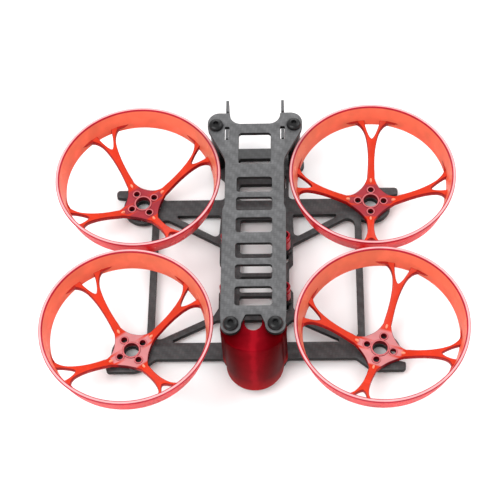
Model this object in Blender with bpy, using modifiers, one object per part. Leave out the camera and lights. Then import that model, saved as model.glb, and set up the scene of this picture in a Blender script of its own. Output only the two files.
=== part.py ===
"""Bare frame of a small four-ducted racing drone.

Two flat carbon plates are held apart by four standoffs.  The lower plate carries the
four arms, and on each arm's pad sits a moulded duct whose hub is the motor seat.  Two
upright carbon plates at the front hold a camera, four posts in the middle hold the
electronics, and a moulded guard closes the tail.

+Y is the front, +X the right-hand side, +Z up.  The origin is on the ground below the
middle of the four motors, and the lower screw heads stand on the ground.
"""
import math

import bmesh
import bpy
from mathutils import Matrix, Vector

MM = 0.001

# ---- clearances -------------------------------------------------------------------
SEAT_GAP = 0.25 * MM            # between faces that touch on the real object
SHANK_GAP = 0.3 * MM            # around a screw in its hole, and a post in its boss
TAB_GAP = 0.3 * MM              # between a tab and each end of its slot
DUCT_TO_DUCT = 1.1 * MM         # between the lips of a front and a rear duct
DUCT_TO_STANDOFF = 1.3 * MM     # between a front duct's lip and the standoff ahead of it
LIP_TO_ROOF = 1.85 * MM         # between a duct's lip and the top plate above it
POST_SLOT_MARGIN = 1.55 * MM    # plate beside an electronics post's slot

# ---- overall layout ---------------------------------------------------------------
DUCT_RADIUS = 28.5 * MM
FRONT_DUCT_INSET = 11.7 * MM    # from the middle plane to the near side of a front duct
REAR_DUCT_INSET = 13.0 * MM
PLATE_GAP = 22.5 * MM           # clear height between the two plates
TOP_THICKNESS = 1.5 * MM
BOTTOM_THICKNESS = 2.0 * MM

MOTOR_HALF_LENGTH = DUCT_RADIUS + DUCT_TO_DUCT / 2.0     # motor axes, from the middle
FRONT_MOTOR_X = DUCT_RADIUS + FRONT_DUCT_INSET
REAR_MOTOR_X = DUCT_RADIUS + REAR_DUCT_INSET

# ---- frame screws and standoffs -----------------------------------------------------
FRONT_SCREW_X = 13.5 * MM
REAR_SCREW_X = 7.2 * MM
REAR_SCREW_BEHIND = 2.1 * MM    # rear screws behind the rear motor axes
SCREW_SHANK_RADIUS = 1.0 * MM
SCREW_HEAD_RADIUS = 2.55 * MM
SCREW_HEAD_HEIGHT = 1.5 * MM
SCREW_LENGTH = 6.5 * MM         # below the head
SOCKET_RADIUS = 0.95 * MM       # across the corners of the hexagon
SOCKET_DEPTH = 0.7 * MM
STANDOFF_RADIUS = 2.2 * MM
STANDOFF_REACH = math.sqrt((DUCT_RADIUS + STANDOFF_RADIUS + DUCT_TO_STANDOFF) ** 2
                           - (FRONT_MOTOR_X - FRONT_SCREW_X) ** 2)
FRONT_SCREW = (FRONT_SCREW_X, MOTOR_HALF_LENGTH + STANDOFF_REACH)
REAR_SCREW = (REAR_SCREW_X, -MOTOR_HALF_LENGTH - REAR_SCREW_BEHIND)

# ---- top plate ----------------------------------------------------------------------
TOP_FRONT_Y = FRONT_SCREW[1] + 5.5 * MM
TOP_EAR_OVERHANG = 2.9 * MM     # side of an ear beyond its screw
TOP_EAR_RADIUS = 4.2 * MM
TOP_WAIST_HALF = 10.0 * MM
TOP_BODY_HALF = 10.7 * MM
NOSE_CUT_HALF = 8.7 * MM        # the cut-out above the camera
NOSE_CUT_DEPTH = 4.6 * MM
NOSE_CUT_CORNER = 3.9 * MM
TAIL_NOTCH_HALF = 2.5 * MM
TAIL_NOTCH_Y = REAR_SCREW[1] + 3.5 * MM
REAR_EAR_RADIUS = 3.35 * MM
WINDOW_CORNER = 1.0 * MM
# front edge, rear edge and half width of each window, front to rear
TOP_WINDOWS = (
    (FRONT_SCREW[1] - 3.1 * MM, FRONT_SCREW[1] - 15.9 * MM, 5.5 * MM),
    (25.4 * MM, 19.4 * MM, 6.0 * MM),
    (17.3 * MM, 12.0 * MM, 6.1 * MM),
    (9.2 * MM, 3.4 * MM, 6.1 * MM),
    (-0.7 * MM, -6.5 * MM, 6.1 * MM),
    (-9.0 * MM, -14.6 * MM, 6.1 * MM),
    (REAR_SCREW[1] + 13.85 * MM, REAR_SCREW[1] + 6.85 * MM, 6.1 * MM),
)

# ---- electronics posts ------------------------------------------------------------------
POST_HALF_PITCH = 10.0 * MM
POST_RADIUS = 1.9 * MM
POST_HEIGHT = 7.8 * MM
NUT_RADIUS = 2.35 * MM          # across the corners of the hexagon
NUT_HEIGHT = 2.9 * MM
POST_SCREW_HEAD_RADIUS = 1.9 * MM
POST_SCREW_HEAD_HEIGHT = 1.2 * MM
POST_SCREW_SHANK_RADIUS = 0.9 * MM
POST_SLOT_WIDTH = 2.4 * MM
FRONT_POST_SLOT = (POST_HALF_PITCH - 4.6 * MM, POST_HALF_PITCH + 7.2 * MM)
REAR_POST_SLOT = (-POST_HALF_PITCH - 3.5 * MM, -POST_HALF_PITCH + 4.8 * MM)

# ---- bottom plate -------------------------------------------------------------------
BOTTOM_FRONT_Y = FRONT_SCREW[1] + 6.9 * MM
BOTTOM_FRONT_HALF = 8.6 * MM
FRONT_EAR_RADIUS = 3.4 * MM
POST_BULGE = 1.4 * MM           # extra half width beside the electronics posts
BODY_HALF = (POST_HALF_PITCH + POST_SLOT_WIDTH / 2.0 + POST_SLOT_MARGIN
             - POST_BULGE)      # the narrowest stretch of the body
ARM_INNER_HALF = BODY_HALF + 1.25 * MM       # the body between a front arm and its brace
ARM_OFFSET = 0.65 * MM          # arm's centre line, from the motor axis towards the middle
FRONT_ARM_WIDTH = 6.5 * MM
REAR_ARM_WIDTH = 6.2 * MM
BRACE_WIDTH = 2.15 * MM
FRONT_BRACE_Y = POST_HALF_PITCH + 4.0 * MM   # where a brace's centre line meets the side of the body
REAR_BRACE_Y = -POST_HALF_PITCH - 5.4 * MM
BRACE_END_X = FRONT_MOTOR_X - 10.2 * MM      # where a brace's centre line runs into its arm
REAR_NECK_HALF = 9.9 * MM
STRUT_X = FRONT_MOTOR_X - 4.6 * MM
STRUT_WIDTH = 2.4 * MM
PAD_RADIUS = 7.0 * MM
TAB_REACH_X = FRONT_MOTOR_X + 9.8 * MM       # tip of the outer tab on each pad
TAB_WIDTH = 3.0 * MM
PAD_BORE_RADIUS = 2.5 * MM
PAD_SLOT_INNER = 3.7 * MM
PAD_SLOT_OUTER = 6.2 * MM
PAD_SLOT_WIDTH = 2.1 * MM
BOTTOM_WINDOW_HALF = 5.7 * MM
BAR_PITCH = 7.7 * MM            # ladder bars in the floor of the body
BAR_WIDTH = 1.5 * MM
FIRST_BAR_Y = 16.2 * MM         # middle of the foremost ladder bar
BAR_COUNT = 4
# front edge, rear edge and half width of the windows ahead of and behind the ladder
END_WINDOWS = (
    (FRONT_SCREW[1] + 2.4 * MM, FRONT_SCREW[1] - 4.9 * MM, 6.6 * MM),
    (FRONT_SCREW[1] - 8.6 * MM, FRONT_SCREW[1] - 15.4 * MM, 6.2 * MM),
    (REAR_SCREW[1] + 14.25 * MM, REAR_SCREW[1] + 2.75 * MM, 4.2 * MM),
)

# ---- camera plates --------------------------------------------------------------------
CAMERA_PLATE_X = 9.6 * MM
CAMERA_PLATE_THICKNESS = 1.0 * MM
CAMERA_FRONT_Y = FRONT_SCREW[1] + 11.1 * MM
CAMERA_REAR_Y = FRONT_SCREW[1] - 10.1 * MM
CAMERA_LOWER_TAB = (FRONT_SCREW[1] - 9.8 * MM, FRONT_SCREW[1] - 5.8 * MM)
CAMERA_UPPER_TAB = (FRONT_SCREW[1] - 5.1 * MM, FRONT_SCREW[1] - 1.1 * MM)
CAMERA_PIVOT = (FRONT_SCREW[1] + 4.2 * MM, 12.0 * MM)     # forward, and above the bottom plate
CAMERA_SLOT_RADIUS = 5.0 * MM
CAMERA_SLOT_WIDTH = 1.9 * MM
PRONG_RISE = 1.8 * MM           # top of the front prong above the top plate's lower face

# ---- ducts --------------------------------------------------------------------------------
DUCT_LIP_WIDTH = 1.2 * MM
DUCT_LIP_HEIGHT = 1.1 * MM
DUCT_WALL = 0.9 * MM
DUCT_DRAFT = 1.9 * MM           # how far the wall leans in from the lip to its lower edge
DUCT_WALL_HEIGHT = 8.4 * MM
HUB_HEIGHT = 2.0 * MM
HUB_FLAT_RADIUS = 6.0 * MM
HUB_TIP_RADIUS = 8.4 * MM       # where the hub's star runs into a spoke
HUB_BORE_RADIUS = 2.5 * MM
MOTOR_HOLE_CIRCLE = 4.5 * MM    # radius of the circle that the motor screws stand on
MOTOR_HOLE_RADIUS = 1.0 * MM
SPOKE_WIDTH = 2.4 * MM
SPOKE_COUNT = 4
FORK_START = 15.5 * MM
FORK_CROTCH = 20.7 * MM
FORK_HALF_ANGLE = math.radians(14.0)
CROTCH_HALF_ANGLE = math.radians(6.0)
SPOKE_SEAT = 2.5 * MM           # top of a spoke above the wall's foot, where it meets the wall
RIM_SEGMENTS = 48
# how far each duct is turned on its seat
DUCT_CLOCK = {
    "front_left": math.radians(32.0),
    "front_right": math.radians(-2.0),
    "rear_left": math.radians(35.0),
    "rear_right": math.radians(-18.0),
}

# ---- tail guard -------------------------------------------------------------------------
TAIL_HALF = 9.6 * MM
TAIL_END_Y = REAR_SCREW[1] - 12.55 * MM
TAIL_LEAN = 3.6 * MM            # the rear wall's top edge is this far ahead of its foot
TAIL_WALL = 1.4 * MM
TAIL_ROOF = 1.4 * MM
TAIL_BOSS_WALL = 1.1 * MM
TAIL_FRONT_Y = REAR_SCREW[1] + 3.0 * MM
TAIL_SCOOP_RADIUS = 2.9 * MM
TAIL_SCOOP_Y = REAR_SCREW[1] + 1.55 * MM     # middle of the scoop's round end

# ---- levels that follow from the sizes above --------------------------------------------
FLOOR_Z = SCREW_HEAD_HEIGHT + SEAT_GAP             # lower face of the bottom plate
DECK_Z = FLOOR_Z + BOTTOM_THICKNESS                # upper face of the bottom plate
ROOF_Z = DECK_Z + PLATE_GAP                        # lower face of the top plate
TOP_Z = ROOF_Z + TOP_THICKNESS                     # upper face of the top plate
HUB_Z = DECK_Z + SEAT_GAP                          # lower face of every duct's hub
LIP_Z = ROOF_Z - LIP_TO_ROOF                       # top of every duct

SIDES = {"left": -1.0, "right": 1.0}
ENDS = {"front": 1.0, "rear": -1.0}


# ---- outlines: lists of (x, y) points -----------------------------------------------------
def arc(centre, radius, start, end, steps):
    """Points on an arc from one angle to another, in degrees, both ends included."""
    points = []
    for step in range(steps + 1):
        angle = math.radians(start + (end - start) * step / steps)
        points.append((centre[0] + radius * math.cos(angle), centre[1] + radius * math.sin(angle)))
    return points


def circle(centre, radius, steps):
    """A closed ring of points."""
    return arc(centre, radius, 0.0, 360.0, steps)[:-1]


def fillet(before, corner, after, radius, steps):
    """The arc that rounds one corner of an outline."""
    tip = Vector(corner)
    to_before = Vector(before) - tip
    to_after = Vector(after) - tip
    half_angle = to_before.angle(to_after) / 2.0
    reach = radius / math.tan(half_angle)
    limit = 0.45 * min(to_before.length, to_after.length)
    if reach > limit:
        radius *= limit / reach
        reach = limit
    start = tip + to_before.normalized() * reach
    end = tip + to_after.normalized() * reach
    bisector = (to_before.normalized() + to_after.normalized()).normalized()
    centre = tip + bisector * (radius / math.sin(half_angle))
    first = start - centre
    last = end - centre
    sweep = first.angle_signed(last)
    points = []
    for step in range(steps + 1):
        spoke = first.copy()
        spoke.rotate(Matrix.Rotation(-sweep * step / steps, 2))
        points.append(tuple(centre + spoke))
    return points


def rounded(corners, steps=3):
    """An outline whose corners are (x, y, fillet radius); a radius of 0 stays sharp."""
    points = []
    for index, (x, y, radius) in enumerate(corners):
        if radius <= 0.0:
            points.append((x, y))
            continue
        before = corners[index - 1][:2]
        after = corners[(index + 1) % len(corners)][:2]
        points.extend(fillet(before, (x, y), after, radius, steps))
    return points


def window(front, rear, half_width, corner=WINDOW_CORNER):
    """A rounded rectangle centred on the middle plane."""
    return rounded([
        (-half_width, rear, corner),
        (half_width, rear, corner),
        (half_width, front, corner),
        (-half_width, front, corner),
    ], steps=2)


def obround(start, end, width, steps=4):
    """A slot with round ends between two centres."""
    direction = Vector(end) - Vector(start)
    heading = math.degrees(math.atan2(direction.y, direction.x))
    radius = width / 2.0
    return (arc(end, radius, heading - 90.0, heading + 90.0, steps)
            + arc(start, radius, heading + 90.0, heading + 270.0, steps))


def slot_along_y(x, rear, front, width):
    """A slot that runs fore and aft, from its rear end to its front end."""
    return obround((x, rear + width / 2.0), (x, front - width / 2.0), width)


def mirrored(points):
    """The same outline on the other side of the middle plane."""
    return [(-x, y) for x, y in reversed(points)]


def both_sides(half):
    """A closed outline from its right-hand half, which runs from front to rear."""
    return half + mirrored(half)


def bezier(start, control, end, steps):
    """Points on a quadratic curve, without its last point."""
    points = []
    for step in range(steps):
        t = step / steps
        a = (1.0 - t) ** 2
        b = 2.0 * t * (1.0 - t)
        c = t * t
        points.append((a * start[0] + b * control[0] + c * end[0],
                       a * start[1] + b * control[1] + c * end[1]))
    return points


def turned_about_origin(points, angle):
    """An outline turned by an angle in radians."""
    cosine = math.cos(angle)
    sine = math.sin(angle)
    return [(x * cosine - y * sine, x * sine + y * cosine) for x, y in points]


def moved(points, shift):
    """An outline moved by (x, y)."""
    return [(x + shift[0], y + shift[1]) for x, y in points]


# ---- solids -----------------------------------------------------------------------------
def slab(outlines, low, high):
    """A mesh: the area between closed outlines, from one level to another."""
    curve = bpy.data.curves.new("outline", "CURVE")
    curve.dimensions = "2D"
    curve.fill_mode = "BOTH"
    curve.extrude = (high - low) / 2.0
    for points in outlines:
        spline = curve.splines.new("POLY")
        spline.points.add(len(points) - 1)
        for point, (x, y) in zip(spline.points, points):
            point.co = (x, y, 0.0, 1.0)
        spline.use_cyclic_u = True
    guide = bpy.data.objects.new("outline", curve)
    bpy.context.scene.collection.objects.link(guide)
    evaluated = guide.evaluated_get(bpy.context.evaluated_depsgraph_get())
    mesh = bpy.data.meshes.new_from_object(evaluated)
    bpy.data.objects.remove(guide)
    bpy.data.curves.remove(curve)
    work = bmesh.new()
    work.from_mesh(mesh)
    bmesh.ops.remove_doubles(work, verts=work.verts, dist=0.00001)
    bmesh.ops.translate(work, verts=work.verts, vec=(0.0, 0.0, (low + high) / 2.0))
    bmesh.ops.recalc_face_normals(work, faces=work.faces)
    work.to_mesh(mesh)
    work.free()
    return mesh


def turned(profile, steps):
    """A mesh: a closed (radius, height) profile spun round the Z axis.

    The profile runs down its outer side, so the faces point out."""
    mesh = bpy.data.meshes.new("profile")
    edges = [(index, index + 1) for index in range(len(profile) - 1)]
    on_axis = profile[0][0] == 0.0 and profile[-1][0] == 0.0
    if not on_axis:
        edges.append((len(profile) - 1, 0))
    mesh.from_pydata([(radius, 0.0, height) for radius, height in profile], edges, [])
    guide = bpy.data.objects.new("profile", mesh)
    bpy.context.scene.collection.objects.link(guide)
    screw = guide.modifiers.new("turn", "SCREW")
    screw.axis = "Z"
    screw.angle = 2.0 * math.pi
    screw.steps = steps
    screw.render_steps = steps
    screw.use_merge_vertices = True
    screw.merge_threshold = 0.00001
    evaluated = guide.evaluated_get(bpy.context.evaluated_depsgraph_get())
    result = bpy.data.meshes.new_from_object(evaluated)
    bpy.data.objects.remove(guide)
    bpy.data.meshes.remove(mesh)
    work = bmesh.new()
    work.from_mesh(result)
    bmesh.ops.remove_doubles(work, verts=work.verts, dist=0.000001)
    bmesh.ops.recalc_face_normals(work, faces=work.faces)
    work.to_mesh(result)
    work.free()
    return result


def prism(radius, low, high, sides, turn=0.0):
    """A mesh: an upright prism or cylinder on the Z axis."""
    work = bmesh.new()
    bmesh.ops.create_cone(work, cap_ends=True, segments=sides, radius1=radius, radius2=radius,
                          depth=high - low,
                          matrix=Matrix.Translation((0.0, 0.0, (low + high) / 2.0))
                          @ Matrix.Rotation(turn, 4, "Z"))
    mesh = bpy.data.meshes.new("prism")
    work.to_mesh(mesh)
    work.free()
    return mesh


def faceted(mesh):
    """Split every face into triangles, so that a bent face stays exactly where it is."""
    work = bmesh.new()
    work.from_mesh(mesh)
    bmesh.ops.triangulate(work, faces=work.faces)
    work.to_mesh(mesh)
    work.free()


def combined(base, other, operation):
    """A mesh: two solids after a Boolean."""
    faceted(base)
    faceted(other)
    first = bpy.data.objects.new("base", base)
    second = bpy.data.objects.new("tool", other)
    for item in (first, second):
        bpy.context.scene.collection.objects.link(item)
    boolean = first.modifiers.new("combine", "BOOLEAN")
    boolean.operation = operation
    boolean.solver = "EXACT"
    boolean.object = second
    evaluated = first.evaluated_get(bpy.context.evaluated_depsgraph_get())
    result = bpy.data.meshes.new_from_object(evaluated)
    bpy.data.objects.remove(first)
    bpy.data.objects.remove(second)
    work = bmesh.new()
    work.from_mesh(result)
    bmesh.ops.remove_doubles(work, verts=work.verts, dist=0.000002)
    bmesh.ops.dissolve_degenerate(work, edges=work.edges, dist=0.000002)
    work.to_mesh(result)
    work.free()
    return result


def finish_material(name, colour, roughness, metallic=0.0, alpha=1.0):
    """A Principled material."""
    material = bpy.data.materials.new(name)
    material.use_nodes = True
    shader = material.node_tree.nodes["Principled BSDF"]
    shader.inputs["Base Color"].default_value = (*colour, 1.0)
    shader.inputs["Roughness"].default_value = roughness
    shader.inputs["Metallic"].default_value = metallic
    shader.inputs["Alpha"].default_value = alpha
    material.diffuse_color = (*colour, alpha)
    return material


class Assembly:
    """The collection that holds the named parts."""

    def __init__(self, name):
        self.collection = bpy.data.collections.new(name)
        bpy.context.scene.collection.children.link(self.collection)

    def add(self, name, mesh, material, location=(0.0, 0.0, 0.0), turn=0.0, smooth=True):
        """Put a mesh in the assembly as one named part."""
        part = bpy.data.objects.new(name, mesh)
        part.location = location
        part.rotation_euler = (0.0, 0.0, turn)
        if not mesh.materials:
            mesh.materials.append(material)
        if smooth:
            mesh.shade_smooth()
            mesh.set_sharp_from_angle(angle=math.radians(35.0))
        self.collection.objects.link(part)
        return part


# ---- plates -------------------------------------------------------------------------------
def screw_places():
    """The four frame screws by name."""
    places = {}
    for end, (x, y) in (("front", FRONT_SCREW), ("rear", REAR_SCREW)):
        for side, sign in SIDES.items():
            places[f"{end}_{side}"] = (sign * x, y)
    return places


def screw_holes():
    """Clearance holes for the four frame screws."""
    return [circle(place, SCREW_SHANK_RADIUS + SHANK_GAP, 12) for place in screw_places().values()]


def camera_slots(tab):
    """The pair of slots that take the camera plates' tabs."""
    width = CAMERA_PLATE_THICKNESS + 2.0 * SHANK_GAP
    rear = tab[0] - TAB_GAP - width / 4.0
    front = tab[1] + TAB_GAP + width / 4.0
    half = width / 2.0
    slot = rounded([
        (CAMERA_PLATE_X - half, rear, half / 2.0),
        (CAMERA_PLATE_X + half, rear, half / 2.0),
        (CAMERA_PLATE_X + half, front, half / 2.0),
        (CAMERA_PLATE_X - half, front, half / 2.0),
    ], steps=1)
    return [slot, mirrored(slot)]


def top_plate():
    """The long upper plate with its row of windows."""
    ear_side = FRONT_SCREW[0] + TOP_EAR_OVERHANG
    nose_floor = TOP_FRONT_Y - NOSE_CUT_DEPTH
    half = [(0.0, nose_floor)]
    half += arc((NOSE_CUT_HALF - NOSE_CUT_CORNER, nose_floor + NOSE_CUT_CORNER),
                NOSE_CUT_CORNER, -90.0, 0.0, 6)
    half.append((NOSE_CUT_HALF + 0.15 * MM, TOP_FRONT_Y - 0.1 * MM))
    half += arc((ear_side - TOP_EAR_RADIUS, TOP_FRONT_Y - TOP_EAR_RADIUS),
                TOP_EAR_RADIUS, 90.0, 0.0, 8)
    half += rounded([
        (ear_side, FRONT_SCREW[1] - 0.2 * MM, 0.0),
        (ear_side - 0.4 * MM, FRONT_SCREW[1] - 2.2 * MM, TOP_EAR_OVERHANG),
        (TOP_WAIST_HALF, FRONT_SCREW[1] - 13.9 * MM, 9.0 * MM),
        (TOP_WAIST_HALF, 14.5 * MM, 2.0 * MM),
        (TOP_BODY_HALF, 12.5 * MM, 2.0 * MM),
        (TOP_BODY_HALF, REAR_SCREW[1] + REAR_EAR_RADIUS, 0.0),
    ], steps=5)
    half += arc(REAR_SCREW, REAR_EAR_RADIUS, 15.0, -175.0, 12)
    half += rounded([
        (TAIL_NOTCH_HALF + 1.3 * MM, REAR_SCREW[1] + 0.5 * MM, 0.0),
        (TAIL_NOTCH_HALF, TAIL_NOTCH_Y, 0.6 * MM),
        (0.0, TAIL_NOTCH_Y, 0.0),
    ])
    outlines = [both_sides(half)] + screw_holes() + camera_slots(CAMERA_UPPER_TAB)
    outlines += [window(front, rear, width) for front, rear, width in TOP_WINDOWS]
    return slab(outlines, ROOF_Z, TOP_Z)


def brace_edge(start, end, offset):
    """Both ends of a brace's side, at an offset from its centre line."""
    along = (Vector(end) - Vector(start)).normalized()
    across = Vector((-along.y, along.x)) * offset
    return Vector(start) + across, Vector(end) + across


def at_x(line, x):
    """The point at which a line reaches an x."""
    start, end = line
    t = (x - start.x) / (end.x - start.x)
    return start.y + (end.y - start.y) * t


def arm_edges(end):
    """The levels of an arm's outer and inner edge, front or rear."""
    sign = ENDS[end]
    width = FRONT_ARM_WIDTH if end == "front" else REAR_ARM_WIDTH
    middle = sign * (MOTOR_HALF_LENGTH - ARM_OFFSET)
    return middle + sign * width / 2.0, middle - sign * width / 2.0


def brace_lines(end):
    """The two sides of a brace: the one towards the arm, and the one towards the middle."""
    sign = ENDS[end]
    start = (ARM_INNER_HALF, FRONT_BRACE_Y if end == "front" else REAR_BRACE_Y)
    finish = (BRACE_END_X, arm_edges(end)[1] - sign * 1.2 * MM)
    outer = brace_edge(start, finish, sign * BRACE_WIDTH / 2.0)
    inner = brace_edge(start, finish, -sign * BRACE_WIDTH / 2.0)
    return outer, inner


def pad_outline(end, motor_x):
    """The rim of a motor pad with its outer tab, from the arm round to the strut."""
    sign = ENDS[end]
    centre = (motor_x, sign * MOTOR_HALF_LENGTH)
    tab_far = centre[1] + sign * PAD_RADIUS
    tab_near = tab_far - sign * TAB_WIDTH
    tab_angle = math.degrees(math.asin((PAD_RADIUS - TAB_WIDTH) / PAD_RADIUS))
    strut_outer = STRUT_X + STRUT_WIDTH / 2.0
    strut_angle = math.degrees(math.acos((strut_outer - motor_x) / PAD_RADIUS))
    rim = arc(centre, PAD_RADIUS, sign * 135.0, sign * 90.0, 3)
    tab = rounded([
        (motor_x + 1.0 * MM, tab_far, 0.0),
        (TAB_REACH_X, tab_far, 1.3 * MM),
        (TAB_REACH_X, tab_near, 1.0 * MM),
        (motor_x + PAD_RADIUS, tab_near, 0.0),
    ])
    rest = arc(centre, PAD_RADIUS, sign * (tab_angle - 4.0), -sign * strut_angle, 12)
    return rim + tab[1:-1] + rest


def bottom_outline():
    """The outer edge of the bottom plate, arms, pads and struts included."""
    front_far, _ = arm_edges("front")
    rear_far, _ = arm_edges("rear")
    half = rounded([
        (0.0, BOTTOM_FRONT_Y, 0.0),
        (BOTTOM_FRONT_HALF, BOTTOM_FRONT_Y, 1.5 * MM),
        (FRONT_SCREW[0], FRONT_SCREW[1] + FRONT_EAR_RADIUS + 0.2 * MM, 0.0),
    ])
    half += arc(FRONT_SCREW, FRONT_EAR_RADIUS, 80.0, -50.0, 9)
    half += rounded([
        (FRONT_SCREW[0] + 1.6 * MM, FRONT_SCREW[1] - FRONT_EAR_RADIUS - 0.2 * MM, 0.0),
        (BODY_HALF, FRONT_SCREW[1] - 6.4 * MM, 3.0 * MM),
        (BODY_HALF, front_far, 1.6 * MM),
        (FRONT_MOTOR_X - PAD_RADIUS - 0.6 * MM, front_far, 1.6 * MM),
        (FRONT_MOTOR_X - PAD_RADIUS + 1.6 * MM, front_far + 2.6 * MM, 0.0),
    ])[1:-1]
    half += pad_outline("front", FRONT_MOTOR_X)
    half += list(reversed(pad_outline("rear", REAR_MOTOR_X)))
    half += rounded([
        (REAR_MOTOR_X - PAD_RADIUS + 1.6 * MM, rear_far - 2.6 * MM, 0.0),
        (REAR_MOTOR_X - PAD_RADIUS - 0.8 * MM, rear_far, 1.6 * MM),
        (REAR_SCREW[0] + REAR_EAR_RADIUS + 0.6 * MM, rear_far, 1.0 * MM),
        (REAR_SCREW[0] + REAR_EAR_RADIUS, REAR_SCREW[1] - 0.6 * MM, 0.0),
    ])[1:-1]
    half += arc(REAR_SCREW, REAR_EAR_RADIUS, -15.0, -120.0, 8)
    half += rounded([
        (REAR_SCREW[0] - REAR_EAR_RADIUS, REAR_SCREW[1] - 1.6 * MM, 0.0),
        (REAR_SCREW[0] - REAR_EAR_RADIUS - 0.8 * MM, REAR_SCREW[1] - 0.6 * MM, 1.0 * MM),
        (0.0, REAR_SCREW[1] - 0.6 * MM, 0.0),
    ])[1:]
    return both_sides(half)


def side_openings():
    """Openings of the bottom plate on the right: beside the body, and in each arm's fork."""
    _, front_near = arm_edges("front")
    _, rear_near = arm_edges("rear")
    front_outer, front_inner = brace_lines("front")
    rear_outer, rear_inner = brace_lines("rear")
    strut_inner = STRUT_X - STRUT_WIDTH / 2.0
    bulge = BODY_HALF + POST_BULGE
    waist_front = POST_HALF_PITCH - 6.2 * MM
    waist_rear = -POST_HALF_PITCH + 5.8 * MM
    beside_body = rounded([
        (bulge, at_x(front_inner, bulge), 0.8 * MM),
        (strut_inner, at_x(front_inner, strut_inner), 2.6 * MM),
        (strut_inner, at_x(rear_inner, strut_inner), 2.0 * MM),
        (bulge + 1.6 * MM, at_x(rear_inner, bulge + 1.6 * MM), 1.0 * MM),
        (bulge, -POST_HALF_PITCH - 2.2 * MM, 0.8 * MM),
        (bulge, waist_rear - POST_BULGE * 1.6, 0.8 * MM),
        (BODY_HALF, waist_rear, 0.8 * MM),
        (BODY_HALF, waist_front, 0.8 * MM),
        (bulge, waist_front + POST_BULGE * 1.2, 0.8 * MM),
    ])
    crotch_x = BRACE_END_X - 1.9 * MM
    front_fork = rounded([
        (ARM_INNER_HALF, front_near, 0.8 * MM),
        (crotch_x, front_near, 0.5 * MM),
        (crotch_x - 0.2 * MM, at_x(front_outer, crotch_x), 0.5 * MM),
        (ARM_INNER_HALF + 0.6 * MM, at_x(front_outer, ARM_INNER_HALF + 0.6 * MM), 1.4 * MM),
    ])
    rear_fork = rounded([
        (REAR_NECK_HALF, rear_near, 0.8 * MM),
        (crotch_x, rear_near, 0.5 * MM),
        (crotch_x - 0.2 * MM, at_x(rear_outer, crotch_x), 0.5 * MM),
        (ARM_INNER_HALF, at_x(rear_outer, ARM_INNER_HALF), 1.4 * MM),
        (REAR_NECK_HALF, at_x(rear_outer, ARM_INNER_HALF) - 2.6 * MM, 1.4 * MM),
    ])
    return [beside_body, front_fork, rear_fork]


def pad_openings(motor_x, motor_y):
    """The motor's bore and its four screw slots in one pad."""
    outlines = [circle((motor_x, motor_y), PAD_BORE_RADIUS, 16)]
    for quarter in range(4):
        slot = obround((PAD_SLOT_INNER + PAD_SLOT_WIDTH / 2.0, 0.0),
                       (PAD_SLOT_OUTER - PAD_SLOT_WIDTH / 2.0, 0.0), PAD_SLOT_WIDTH, 3)
        outlines.append(moved(turned_about_origin(slot, quarter * math.pi / 2.0),
                              (motor_x, motor_y)))
    return outlines


def motor_places():
    """The four motor axes by name."""
    places = {}
    for end, sign in ENDS.items():
        x = FRONT_MOTOR_X if end == "front" else REAR_MOTOR_X
        for side, hand in SIDES.items():
            places[f"{end}_{side}"] = (hand * x, sign * MOTOR_HALF_LENGTH)
    return places


def floor_windows():
    """The ladder of windows in the floor of the body, and the wider ones at its ends."""
    outlines = [window(front, rear, width) for front, rear, width in END_WINDOWS]
    for index in range(BAR_COUNT + 1):
        front = FIRST_BAR_Y + BAR_PITCH * (1 - index) - BAR_WIDTH / 2.0
        rear = FIRST_BAR_Y - BAR_PITCH * index + BAR_WIDTH / 2.0
        outlines.append(window(front, rear, BOTTOM_WINDOW_HALF))
    return outlines


def bottom_plate():
    """The lower plate with its four arms and motor pads."""
    outlines = [bottom_outline()] + screw_holes() + camera_slots(CAMERA_LOWER_TAB)
    outlines += floor_windows()
    for opening in side_openings():
        outlines += [opening, mirrored(opening)]
    for rear, front in (FRONT_POST_SLOT, REAR_POST_SLOT):
        for sign in SIDES.values():
            outlines.append(slot_along_y(sign * POST_HALF_PITCH, rear, front, POST_SLOT_WIDTH))
    for x, y in motor_places().values():
        outlines += pad_openings(x, y)
    return slab(outlines, FLOOR_Z, DECK_Z)


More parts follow.
